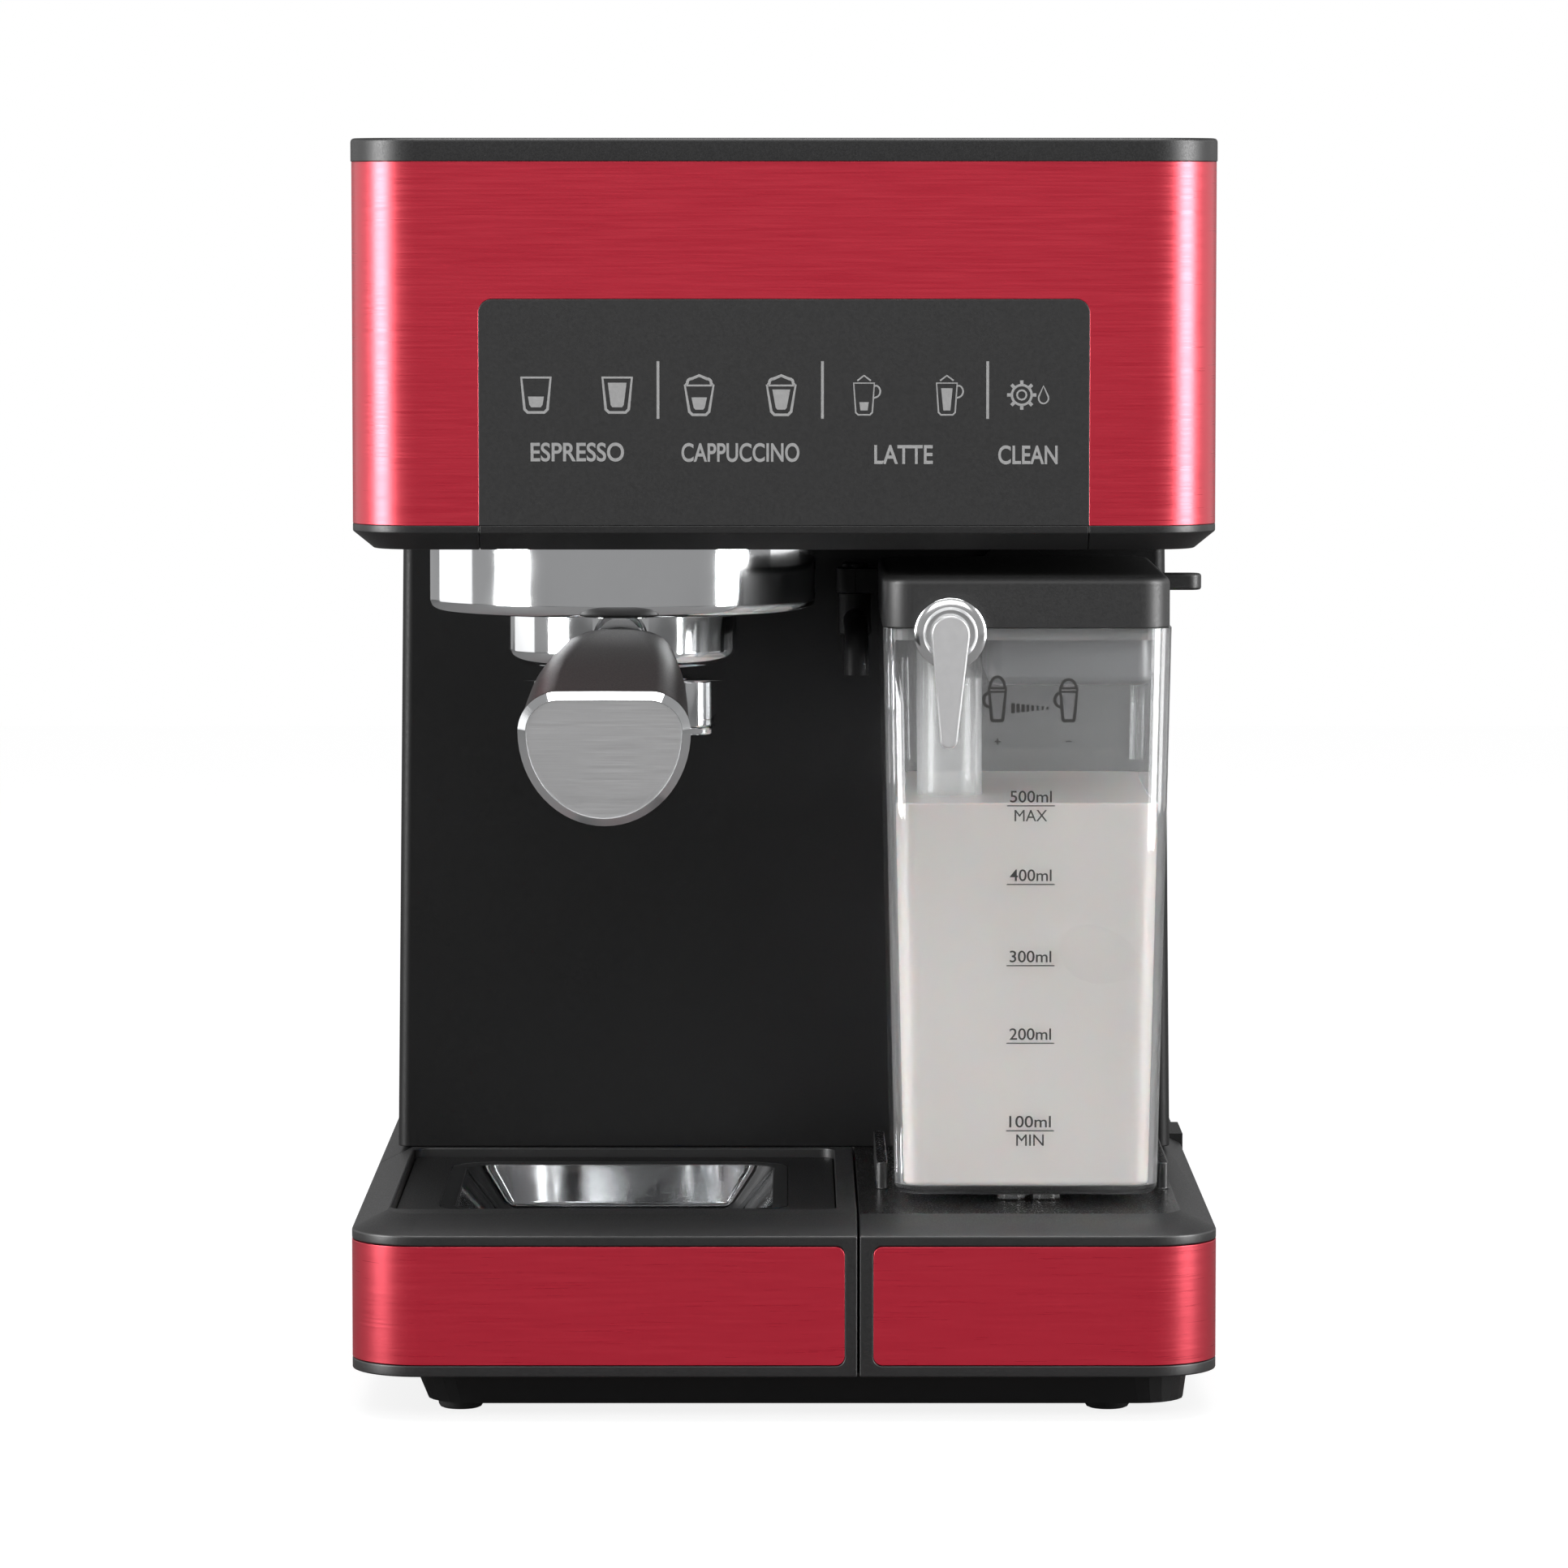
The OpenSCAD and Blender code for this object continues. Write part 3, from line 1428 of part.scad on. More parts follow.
base_tub();
bottom_pan();
rubber_feet();
base_band();
base_screws();
drip_tray();
drip_tray_band();
drip_plate();
cup_dish();
column_housing();
back_panel();
case_screws();
rear_skirt();
cord_gland();
power_switch();
power_rocker();
head_frame();
head_wrap();
head_bezel();
panel_chin();
control_panel();
top_cover();
touch_board();
main_board();
group_collar();
brew_head();
group_gasket();
shower_screen();
screen_screw();
portafilter_body();
handle_ferrule();
portafilter_handle();
handle_cap();
filter_basket();
basket_spring();
double_spout();
milk_tank();
milk_lid();
lid_gasket();
froth_chamber();
intake_tube();
steam_coupler();
froth_lever();
spout_lever();
milk_spout();
steam_socket();
water_tank();
tank_valve();
lid_pins();
water_tank_lid();
tank_seat();
pump();
pump_mounts();
boiler();
thermal_fuses();
solenoid_valve();
flow_meter();
suction_hose();
pressure_pipe();
steam_pipe();
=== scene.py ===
from math import cos, pi, radians, sin

import bmesh
import bpy
from mathutils import Matrix, Vector
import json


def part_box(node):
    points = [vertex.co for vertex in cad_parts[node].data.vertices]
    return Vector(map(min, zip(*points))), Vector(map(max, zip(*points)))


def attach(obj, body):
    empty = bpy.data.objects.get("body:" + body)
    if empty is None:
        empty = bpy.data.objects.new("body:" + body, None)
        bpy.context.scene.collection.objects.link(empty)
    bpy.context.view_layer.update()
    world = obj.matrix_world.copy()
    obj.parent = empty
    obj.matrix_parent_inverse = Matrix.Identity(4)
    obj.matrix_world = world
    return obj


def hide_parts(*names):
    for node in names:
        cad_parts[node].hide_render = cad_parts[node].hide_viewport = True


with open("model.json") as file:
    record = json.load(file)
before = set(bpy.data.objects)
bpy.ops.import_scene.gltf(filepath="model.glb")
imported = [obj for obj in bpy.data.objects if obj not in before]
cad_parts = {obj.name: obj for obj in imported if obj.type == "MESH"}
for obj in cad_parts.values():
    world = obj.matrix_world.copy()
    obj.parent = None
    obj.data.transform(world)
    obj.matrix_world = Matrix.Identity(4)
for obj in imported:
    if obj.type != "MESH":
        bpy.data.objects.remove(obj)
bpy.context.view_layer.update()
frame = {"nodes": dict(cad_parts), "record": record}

# ---- Studio ----
# A white sweep, with a wide soft box over the machine's front and one over its top. A gleam above, a tall
# strip each side and a wall behind each side only make reflections, such as those down the corners.
# A long lens looks slightly down from the height of the lid.
scene = bpy.context.scene
scene.view_settings.view_transform = "Standard"
BASE_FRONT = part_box("base_tub")[0].y
LENS = 167.16
CAMERA_AWAY = 1.8215
CAMERA_HEIGHT = 0.3052
CAMERA_DOWN = radians(4.5)
SURROUND = (0.33, 0.33, 0.332, 1)
PAPER = (0.33, 0.33, 0.33, 1)
PAPER_GLOW = 0.86
SWEEP_REACH = 2.4
eye = bpy.data.cameras.new("camera")
eye.lens = LENS
eye.clip_end = 30
camera = bpy.data.objects.new("camera", eye)
camera.location = (0, BASE_FRONT - CAMERA_AWAY, CAMERA_HEIGHT)
camera.rotation_euler = (pi / 2 - CAMERA_DOWN, 0, 0)
scene.collection.objects.link(camera)
scene.camera = camera


def soft_box(name, azimuth, height, away, width, tall, watts, aim=0.16, gloss_only=False):
    """A rectangular lamp round the machine; azimuth 0 is its front, and positive goes to the user's right."""
    lamp = bpy.data.lights.new(name, "AREA")
    lamp.shape = "RECTANGLE"
    lamp.size, lamp.size_y = width, tall
    lamp.energy = watts
    stand = bpy.data.objects.new(name, lamp)
    stand.location = (away * sin(radians(azimuth)), -away * cos(radians(azimuth)), height)
    look = Vector((0, 0, aim)) - stand.location
    stand.rotation_euler = look.to_track_quat("-Z", "Y").to_euler()
    stand.visible_diffuse = not gloss_only
    scene.collection.objects.link(stand)


def by_ray(tree, ray, usual, special, end):
    """Ends a world or material with one shader for a kind of ray and another for all the rest."""
    path = tree.nodes.new("ShaderNodeLightPath")
    pick = tree.nodes.new("ShaderNodeMixShader")
    tree.links.new(path.outputs[ray], pick.inputs["Fac"])
    tree.links.new(usual.outputs[0], pick.inputs[1])
    tree.links.new(special.outputs[0], pick.inputs[2])
    tree.links.new(pick.outputs[0], tree.nodes[end].inputs["Surface"])


soft_box("front_box", 0, 1.3, 1.7, 1.6, 0.9, 10)
soft_box("top_box", 0, 1.7, 0.15, 1.3, 0.9, 8)
soft_box("top_gleam", 0, 1.7, 0.2, 1.3, 0.9, 26, gloss_only=True)
for side in (-1, 1):
    soft_box("strip", side * 67, 0.3, 1.3, 0.5, 1.5, 56, gloss_only=True)
    soft_box("rear_wall", side * 118, 0.3, 1.5, 1.1, 1.6, 5, gloss_only=True)

world = bpy.data.worlds.new("studio")
scene.world = world
world.use_nodes = True
sky = world.node_tree
surround = sky.nodes["Background"]
surround.inputs["Color"].default_value = SURROUND
backdrop = sky.nodes.new("ShaderNodeBackground")
backdrop.inputs["Color"].default_value = (1, 1, 1, 1)
by_ray(sky, "Is Camera Ray", surround, backdrop, "World Output")

sheet_bm = bmesh.new()
bmesh.ops.create_grid(sheet_bm, x_segments=1, y_segments=1, size=SWEEP_REACH)
floor_mesh = bpy.data.meshes.new("floor")
sheet_bm.to_mesh(floor_mesh)
sheet_bm.free()
floor = bpy.data.objects.new("floor", floor_mesh)
scene.collection.objects.link(floor)
paper = bpy.data.materials.new("white_paper")
paper.use_nodes = True
paper_tree = paper.node_tree
plain_paper = paper_tree.nodes["Principled BSDF"]
plain_paper.inputs["Base Color"].default_value = PAPER
plain_paper.inputs["Roughness"].default_value = 0.9
plain_paper.inputs["Specular IOR Level"].default_value = 0.1
glow = paper_tree.nodes.new("ShaderNodeEmission")
glow.inputs["Strength"].default_value = PAPER_GLOW
glowing_paper = paper_tree.nodes.new("ShaderNodeAddShader")
paper_tree.links.new(plain_paper.outputs[0], glowing_paper.inputs[0])
paper_tree.links.new(glow.outputs[0], glowing_paper.inputs[1])
by_ray(paper_tree, "Is Camera Ray", plain_paper, glowing_paper, "Material Output")
floor_mesh.materials.append(paper)

# ---- Base tub ----
# The fixed black moulding under the milk tank and the column: one injection moulding with a rim that
# leans in, the drip tray's quarter left out, grooves for the red bands and cheeks beside the milk tank.
# Shapes are worked in millimetres here and below, and brought to metres when they become a piece.
FAR = 250
slot_of = {row["node"]: row["material_slot"] for row in frame["record"]["subparts"]}
body_of = {node: body for body, nodes in frame["record"]["behaviour"]["bodies"].items() for node in nodes}


def cad(node):
    """A node's lowest and highest corners in millimetres."""
    return [corner * 1000 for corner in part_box(node)]


def centre(node):
    """The middle of a node in millimetres."""
    low, high = cad(node)
    return (low + high) / 2


def everything(bm):
    return bm.verts[:] + bm.edges[:] + bm.faces[:]


def edges_facing(bm, x=0, y=0, z=0):
    """The edges round the faces that look one way."""
    way = Vector((x, y, z))
    return list(dict.fromkeys(e for f in bm.faces if f.normal.dot(way) > 0.9 for e in f.edges))


def round_edges(bm, edges, radius, steps=3):
    """Rolls edges over to a radius."""
    bmesh.ops.bevel(
        bm, geom=list(edges), offset=radius, offset_type="OFFSET", segments=steps, profile=0.5,
        affect="EDGES", material=-1, clamp_overlap=True)
    bm.normal_update()


def slab(low, high, near_r=0.0, far_r=0.0, along="z", steps=14):
    """A block whose edges along one axis are rounded.

    Upright edges have a radius in front and one behind; level edges have one below and one above.
    """
    bm = bmesh.new()
    low, high = Vector(low), Vector(high)
    middle, size = (low + high) / 2, high - low
    bmesh.ops.create_cube(bm, size=1, matrix=Matrix.Translation(middle) @ Matrix.Diagonal((*size, 1)))
    axis = "xyz".index(along)
    across = 1 if axis == 2 else 2
    for radius, side in ((near_r, -1), (far_r, 1)):
        if radius > 0:
            round_edges(bm, [
                e for e in bm.edges
                if abs(e.verts[0].co[axis] - e.verts[1].co[axis]) > 0.9 * size[axis]
                and (e.verts[0].co[across] - middle[across]) * side > 0.45 * size[across]], radius, steps)
    bm.normal_update()
    return bm


def cutter(x0=-FAR, x1=FAR, y0=-FAR, y1=FAR, z0=-FAR, z1=FAR):
    """A block that reaches past the machine on each side that isn't given."""
    return slab((x0, y0, z0), (x1, y1, z1))


def drum(x, y, radius, z0, z1, steps=64):
    """An upright disc or pin."""
    bm = bmesh.new()
    bmesh.ops.create_cone(
        bm, cap_ends=True, segments=steps, radius1=radius, radius2=radius, depth=z1 - z0,
        matrix=Matrix.Translation((x, y, (z0 + z1) / 2)))
    return bm


def bar(along, centre, radius, start, end, steps=48):
    """A round bar along X or Y; centre is its place across that axis."""
    bm = bmesh.new()
    middle = (start + end) / 2
    place = (middle, *centre) if along == "x" else (centre[0], middle, centre[1])
    bmesh.ops.create_cone(
        bm, cap_ends=True, segments=steps, radius1=radius, radius2=radius, depth=abs(end - start),
        matrix=Matrix.Translation(place) @ Matrix.Rotation(pi / 2, 4, "Y" if along == "x" else "X"))
    return bm


def held(bm):
    """A passing object that holds a mesh while a modifier works on it."""
    mesh = bpy.data.meshes.new("passing")
    bm.to_mesh(mesh)
    bm.free()
    obj = bpy.data.objects.new("passing", mesh)
    scene.collection.objects.link(obj)
    return obj


def let_go(obj):
    mesh = obj.data
    bpy.data.objects.remove(obj)
    bpy.data.meshes.remove(mesh)


def worked(bm, kind, **settings):
    """The mesh after one modifier."""
    obj = held(bm)
    step = obj.modifiers.new("step", kind)
    for key, value in settings.items():
        setattr(step, key, value)
    result = bmesh.new()
    result.from_object(obj, bpy.context.evaluated_depsgraph_get())
    let_go(obj)
    result.normal_update()
    return result


def thicken(bm, thickness, offset=-1):
    """Gives a sheet its thickness, inwards unless the offset says otherwise."""
    return worked(bm, "SOLIDIFY", thickness=thickness, offset=offset, use_even_offset=True)


def carve(bm, *tools):
    """Cuts closed shapes out of a mesh, and uses them up."""
    for tool in tools:
        blade = held(tool)
        bm = worked(bm, "BOOLEAN", object=blade, operation="DIFFERENCE", solver="EXACT")
        let_go(blade)
    return bm


def weld(bm, *others):
    """Unites closed shapes with a mesh, and uses them up."""
    for other in others:
        partner = held(other)
        bm = worked(bm, "BOOLEAN", object=partner, operation="UNION", solver="EXACT")
        let_go(partner)
    return bm


def join(bm, *others):
    """Lays more shells beside a mesh, and uses them up."""
    for other in others:
        mesh = bpy.data.meshes.new("passing")
        other.to_mesh(mesh)
        other.free()
        bm.from_mesh(mesh)
        bpy.data.meshes.remove(mesh)
    return bm


def piece(name, bm, finishes, *nodes, soften=0.0, steps=2, crease=32, stands=True):
    """Makes a mesh one named piece of the first node's body, standing for all the nodes."""
    bmesh.ops.scale(bm, vec=(0.001, 0.001, 0.001), verts=bm.verts[:])
    mesh = bpy.data.meshes.new(name)
    bm.to_mesh(mesh)
    bm.free()
    for material in finishes if isinstance(finishes, tuple) else (finishes,):
        mesh.materials.append(material)
    mesh.shade_smooth()
    obj = bpy.data.objects.new(name, mesh)
    scene.collection.objects.link(obj)
    if soften:
        edge = obj.modifiers.new("soft_edges", "BEVEL")
        edge.width = soften / 1000
        edge.segments = steps
        edge.limit_method = "ANGLE"
        edge.angle_limit = radians(crease)
        edge.use_clamp_overlap = False
    else:
        mesh.set_sharp_from_angle(angle=radians(crease))
    even = obj.modifiers.new("even_faces", "WEIGHTED_NORMAL")
    even.keep_sharp = True
    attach(obj, body_of[nodes[0]])
    if stands:
        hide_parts(*nodes)
    return obj


def finish(name, colour, rough, metal=0.0, **more):
    """A new finish with its plain values on the shader's own sockets."""
    material = bpy.data.materials.new(name)
    material.use_nodes = True
    sockets = material.node_tree.nodes["Principled BSDF"].inputs
    sockets["Base Color"].default_value = (*colour, 1)
    sockets["Roughness"].default_value = rough
    sockets["Metallic"].default_value = metal
    for key, value in more.items():
        sockets[key.replace("_", " ")].default_value = value
    return material


def grain(material, scale, rough=None, bump=0.0, tint=0.0, detail=3.0, reach=0.2):
    """Breaks a finish up with noise, which can move its roughness, its shade and the surface's height."""
    nodes, links = material.node_tree.nodes, material.node_tree.links
    shader = nodes["Principled BSDF"]
    place = nodes.new("ShaderNodeTexCoord")
    stretch = nodes.new("ShaderNodeMapping")
    stretch.inputs["Scale"].default_value = scale
    noise = nodes.new("ShaderNodeTexNoise")
    noise.inputs["Scale"].default_value = 1
    noise.inputs["Detail"].default_value = detail
    links.new(place.outputs["Object"], stretch.inputs["Vector"])
    links.new(stretch.outputs["Vector"], noise.inputs["Vector"])

    def spread(low, high):
        change = nodes.new("ShaderNodeMapRange")
        change.inputs["From Min"].default_value = 0.5 - reach
        change.inputs["From Max"].default_value = 0.5 + reach
        change.inputs["To Min"].default_value = low
        change.inputs["To Max"].default_value = high
        links.new(noise.outputs["Fac"], change.inputs["Value"])
        return change.outputs["Result"]

    if rough:
        links.new(spread(*rough), shader.inputs["Roughness"])
    if tint:
        shade = nodes.new("ShaderNodeHueSaturation")
        if shader.inputs["Base Color"].links:
            links.new(shader.inputs["Base Color"].links[0].from_socket, shade.inputs["Color"])
        else:
            shade.inputs["Color"].default_value = shader.inputs["Base Color"].default_value
        links.new(spread(1 - tint, 1 + tint), shade.inputs["Value"])
        links.new(shade.outputs["Color"], shader.inputs["Base Color"])
    if bump:
        relief = nodes.new("ShaderNodeBump")
        relief.inputs["Strength"].default_value = 1
        relief.inputs["Distance"].default_value = bump
        links.new(noise.outputs["Fac"], relief.inputs["Height"])
        if shader.inputs["Normal"].links:
            links.new(shader.inputs["Normal"].links[0].from_socket, relief.inputs["Normal"])
        links.new(relief.outputs["Normal"], shader.inputs["Normal"])
    return material


black_moulding = finish("black_moulding", (0.016, 0.016, 0.0165), 0.42)
grain(black_moulding, (2400, 2400, 2400), rough=(0.36, 0.5), bump=0.000012, tint=0.06)
tub_low, tub_high = cad("base_tub")
skirt_low, skirt_high = cad("rear_skirt")
tub_high.y = skirt_high.y
tray_low, tray_high = cad("drip_tray")
column_low, column_high = cad("column_housing")
band_low, band_high = cad("base_band")
tray_band_high = cad("drip_tray_band")[1]
switch_low, switch_high = cad("power_switch")
seat_low, seat_high = cad("tank_seat")
seat = centre("tank_seat")
CORNER_R = 18
RIM_IN = 9.2
RIM_DROP = 4.6
WALL = 2.5
DECK = 6.7
SLIP = 0.3
SHEET = 1.2
BAND_GAP = 3.5
BAND_R = 2.2
HAIRLINE = 0.15
CHEEKS_X = (24.1, 97.1)
CHEEK_W = 2.8
CHEEK_H = 7
CHEEK_FRONT = 86
CHEEK_BACK = 20
LEDGE = 16
PAN_DROP = 2
COLUMN_FOOT_X = 92
DECK_CUT = (30, 60)
rim_z = tray_high.z
split_x = tray_high.x + SLIP


def base_block():
    """The whole base in one block, with the rim leaning in."""
    bm = slab(
        (tub_low.x, tub_low.y, tray_low.z), (tub_high.x, tub_high.y, rim_z - RIM_DROP), CORNER_R, CORNER_R)
    top = [f for f in bm.faces if f.normal.z > 0.9]
    bmesh.ops.inset_region(bm, faces=top, thickness=RIM_IN, depth=0, use_even_offset=True)
    bmesh.ops.translate(bm, vec=(0, 0, RIM_DROP), verts=list({v for f in top for v in f.verts}))
    bm.normal_update()
    return bm


def band_outline(kept, low_z, high_z):
    """The stretch of the base's side where kept(point) holds, as a bent sheet with round corners."""
    bm = slab((tub_low.x, tub_low.y, low_z), (tub_high.x, tub_high.y, high_z), CORNER_R, CORNER_R)
    for at, normal in (
            ((tray_band_high.x, 0, 0), (1, 0, 0)), ((split_x + SLIP + BAND_GAP, 0, 0), (1, 0, 0)),
            ((0, tray_band_high.y, 0), (0, 1, 0)), ((0, column_low.y + BAND_GAP, 0), (0, 1, 0)),
            ((0, band_high.y, 0), (0, 1, 0))):
        bmesh.ops.bisect_plane(bm, geom=everything(bm), dist=0.001, plane_co=at, plane_no=normal)
    bm.normal_update()
    spare = [f for f in bm.faces if abs(f.normal.z) > 0.5 or not kept(f.calc_center_median())]
    bmesh.ops.delete(bm, geom=spare, context="FACES")
    corners = [v for v in bm.verts if len(v.link_edges) == 2]
    bmesh.ops.bevel(bm, geom=corners, offset=BAND_R, segments=6, profile=0.5, affect="VERTICES", material=-1)
    bm.normal_update()
    return bm


def on_right(p):
    return p.x > split_x + SLIP + BAND_GAP and p.y < band_high.y


def on_left_rear(p):
    return p.x < tub_low.x + 1 and column_low.y + BAND_GAP < p.y < band_high.y


def on_tray(p):
    return p.x < tray_band_high.x and p.y < tray_band_high.y


def band(kept):
    """A red band as thick as its sheet, flush with the moulding round it."""
    sheet = band_outline(kept, band_low.z + HAIRLINE, band_high.z - HAIRLINE)
    return thicken(sheet, SHEET - HAIRLINE)


def groove(kept):
    """The cutter for a band's groove."""
    return thicken(band_outline(kept, band_low.z, band_high.z), 2 * SHEET, offset=0)


def switch_block():
    return slab(switch_low, (switch_high.x + 9, switch_high.y, switch_high.z))


inner_r = CORNER_R - WALL
floor_z = tray_low.z + PAN_DROP
tub = carve(
    base_block(), cutter(x1=split_x + SLIP, y1=column_low.y + SLIP),
    slab((split_x + SLIP + WALL, tub_low.y + WALL, floor_z),
         (tub_high.x - WALL, tub_high.y - WALL, rim_z - DECK), inner_r, inner_r),
    slab((tub_low.x + WALL, column_low.y + SLIP + WALL, floor_z),
         (split_x + LEDGE + 4, tub_high.y - WALL, rim_z - DECK), 0, inner_r),
    slab((split_x + SLIP + LEDGE, tub_low.y + LEDGE, 0),
         (tub_high.x - LEDGE, tub_high.y - LEDGE, floor_z + 1)),
    slab((tub_low.x + LEDGE, column_low.y + LEDGE, 0),
         (split_x + LEDGE + 4, tub_high.y - LEDGE, floor_z + 1)),
    slab((-COLUMN_FOOT_X, column_low.y + 7, DECK_CUT[0]), (COLUMN_FOOT_X, column_high.y - 7, DECK_CUT[1])),
    drum(0, seat.y, (seat_high.x - seat_low.x) / 2 + 0.2, *DECK_CUT),
    switch_block(), groove(on_right), groove(on_left_rear))
skirt = tub.copy()
tub = carve(tub, cutter(y0=skirt_low.y - 0.2))
for x in CHEEKS_X:
    tub = weld(tub, slab(
        (x, column_low.y - CHEEK_FRONT, rim_z - 1),
        (x + CHEEK_W, column_low.y - CHEEK_BACK, rim_z + CHEEK_H), 1.3, 1.3, steps=5))
# The deck inside the rim is polished
deck_finish = finish("deck_moulding", (0.009, 0.009, 0.0092), 0.24, Specular_IOR_Level=0.3)
grain(deck_finish, (1500, 1500, 1500), rough=(0.18, 0.3), bump=0.00001, tint=0.06)
for f in tub.faces:
    f.material_index = 1 if f.normal.z > 0.98 and f.calc_center_median().z > rim_z - 0.1 else 0
piece("tub_moulding", tub, (black_moulding, deck_finish), "base_tub", soften=0.4)

# ---- Rear skirt ----
# The same black moulding carried round the back of the base, as a part of its own. A pocket in it, open
# below, holds the rubber gland that the mains lead comes out of.
WELL = 11
WELL_D = 12
WELL_WALL = 2
GLAND_HOLE_R = 7
gland = centre("cord_gland")
well_in = WELL - WELL_WALL
skirt = carve(skirt, cutter(y1=skirt_low.y))
skirt = weld(skirt, slab(
    (gland.x - WELL, tub_high.y - WELL_D - WALL, tray_low.z),
    (gland.x + WELL, tub_high.y - 1, gland.z + WELL)))
skirt = carve(
    skirt,
    slab((gland.x - well_in, tub_high.y - WELL_D, 0),
         (gland.x + well_in, tub_high.y + 9, gland.z + well_in)),
    bar("y", (gland.x, gland.z), GLAND_HOLE_R, tub_high.y - WELL_D - WALL - 2, tub_high.y - 8))
piece("rear_skirt_moulding", skirt, black_moulding, "rear_skirt", soften=0.4)

# ---- Red bands ----
# Brushed steel with a red tinted coat, let into grooves in the base's sides and stuck there, with small
# round corners at each end. The brush runs level, so the streaks follow the sheet round the corners.
red_brushed = finish(
    "red_brushed_sheet", (0.75, 0.004, 0.038), 0.34, metal=0.3, Anisotropic=0.3, Specular_IOR_Level=0.8)
grain(red_brushed, (55, 55, 3000), rough=(0.27, 0.37), tint=0.012, detail=4)
grain(red_brushed, (35, 35, 5200), bump=0.000004, detail=2)
side_bands = carve(join(band(on_right), band(on_left_rear)), switch_block())
piece("base_band_sheet", side_bands, red_brushed, "base_band", soften=0.15)

# ---- Drip tray ----
# The front left quarter of the base pulls out: a deep moulded box for the drips, with the same leaning
# rim and red band as the tub beside it, and a ledge round the inside that the plate rests on.
plate_low, plate_high = cad("drip_plate")
PLATE_R = 4
PLATE_LEDGE = 3
tray = carve(
    base_block(), cutter(x0=split_x - SLIP), cutter(y0=tray_high.y),
    slab((tray_low.x + WALL, tray_low.y + WALL, floor_z),
         (tray_high.x - WALL, tray_high.y - WALL, plate_low.z - 3.5), inner_r, 1),
    slab((plate_low.x + PLATE_LEDGE, plate_low.y + PLATE_LEDGE, tray_low.z + 9),
         (plate_high.x - PLATE_LEDGE, plate_high.y - PLATE_LEDGE, rim_z), PLATE_R, PLATE_R, steps=6),
    slab((plate_low.x - SLIP, plate_low.y - SLIP, plate_low.z - 0.05),
         (plate_high.x + SLIP, plate_high.y + SLIP, rim_z + 9), PLATE_R, PLATE_R, steps=6),
    groove(on_tray))
piece("tray_moulding", tray, black_moulding, "drip_tray", soften=0.4)
piece("tray_band_sheet", band(on_tray), red_brushed, "drip_tray_band", soften=0.15)

# ---- Drip plate and cup dish ----
# A black plate that lifts out by hand, and a pressed and polished steel dish hung by its flange in the
# plate's opening, with drain slots in two rows across its floor.
dark_moulding = finish("dark_moulding", (0.009, 0.009, 0.0094), 0.45, Specular_IOR_Level=0.3)
grain(dark_moulding, (2200, 2200, 2200), rough=(0.38, 0.54), bump=0.000012, tint=0.06)
chrome_plate = finish("chrome_plate", (0.83, 0.84, 0.85), 0.07, metal=1.0)
grain(chrome_plate, (70, 70, 70), rough=(0.04, 0.1), tint=0.02, detail=5)
dish_low, dish_high = cad("cup_dish")
DISH_SHEET = 0.9
FLANGE = 2.8
DISH_R = 10.8
DRAIN_W = 3
DRAIN_L = 12
DRAIN_PITCH = 8
DRAIN_IN = 19
PLATE_CUT_Z = 99
plate = carve(
    slab(plate_low, plate_high, PLATE_R, PLATE_R, steps=6),
    slab((dish_low.x + FLANGE, dish_low.y + FLANGE, 0),
         (dish_high.x - FLANGE, dish_high.y - FLANGE, PLATE_CUT_Z),
         DISH_R - FLANGE, DISH_R - FLANGE, steps=8),
    slab((dish_low.x - 0.2, dish_low.y - 0.2, dish_high.z - DISH_SHEET - 0.05),
         (dish_high.x + 0.2, dish_high.y + 0.2, PLATE_CUT_Z), DISH_R, DISH_R, steps=8))
piece("tray_plate", plate, dark_moulding, "drip_plate", soften=0.3)


def level_ring(bm, low, high, inset, radius, z):
    """Adds a level rounded outline to a mesh and gives back its edges."""
    sheet = slab(
        (low.x + inset, low.y + inset, z - 1), (high.x - inset, high.y - inset, z), radius, radius, steps=8)
    bmesh.ops.delete(sheet, geom=[f for f in sheet.faces if f.normal.z < 0.9], context="FACES")
    bmesh.ops.delete(sheet, geom=sheet.faces[:], context="FACES_ONLY")
    count = len(bm.edges)
    join(bm, sheet)
    bm.edges.ensure_lookup_table()
    return [(e.verts[0], e.verts[1]) for e in bm.edges[count:]]


def ring_edges(bm, ring):
    return [bm.edges.get(pair) for pair in ring]


def skin(bm, rings):
    """Bridges each ring of a mesh to the next."""
    for near, far in zip(rings, rings[1:]):
        bmesh.ops.bridge_loops(bm, edges=ring_edges(bm, near + far))


dish = bmesh.new()
rings = [
    level_ring(dish, dish_low, dish_high, inset, radius, z) for inset, radius, z in (
        (0, DISH_R, dish_high.z), (FLANGE + 0.3, DISH_R - FLANGE, dish_high.z),
        (FLANGE + 1.1, 7.6, dish_high.z - 0.5), (FLANGE + 1.7, 7.4, dish_high.z - 1.8),
        (FLANGE + 8, 5.6, dish_low.z + 3.2), (FLANGE + 9.2, 5.2, dish_low.z + 1.5),
        (FLANGE + 11, 4.4, dish_low.z + DISH_SHEET))]
skin(dish, rings)
bmesh.ops.edgeloop_fill(dish, edges=ring_edges(dish, rings[-1]))
bmesh.ops.recalc_face_normals(dish, faces=dish.faces[:])
if sum(f.normal.z * f.calc_area() for f in dish.faces) < 0:
    bmesh.ops.reverse_faces(dish, faces=dish.faces[:])
dish = thicken(dish, DISH_SHEET)
group_low, group_high = cad("group_collar")
group = centre("group_collar")
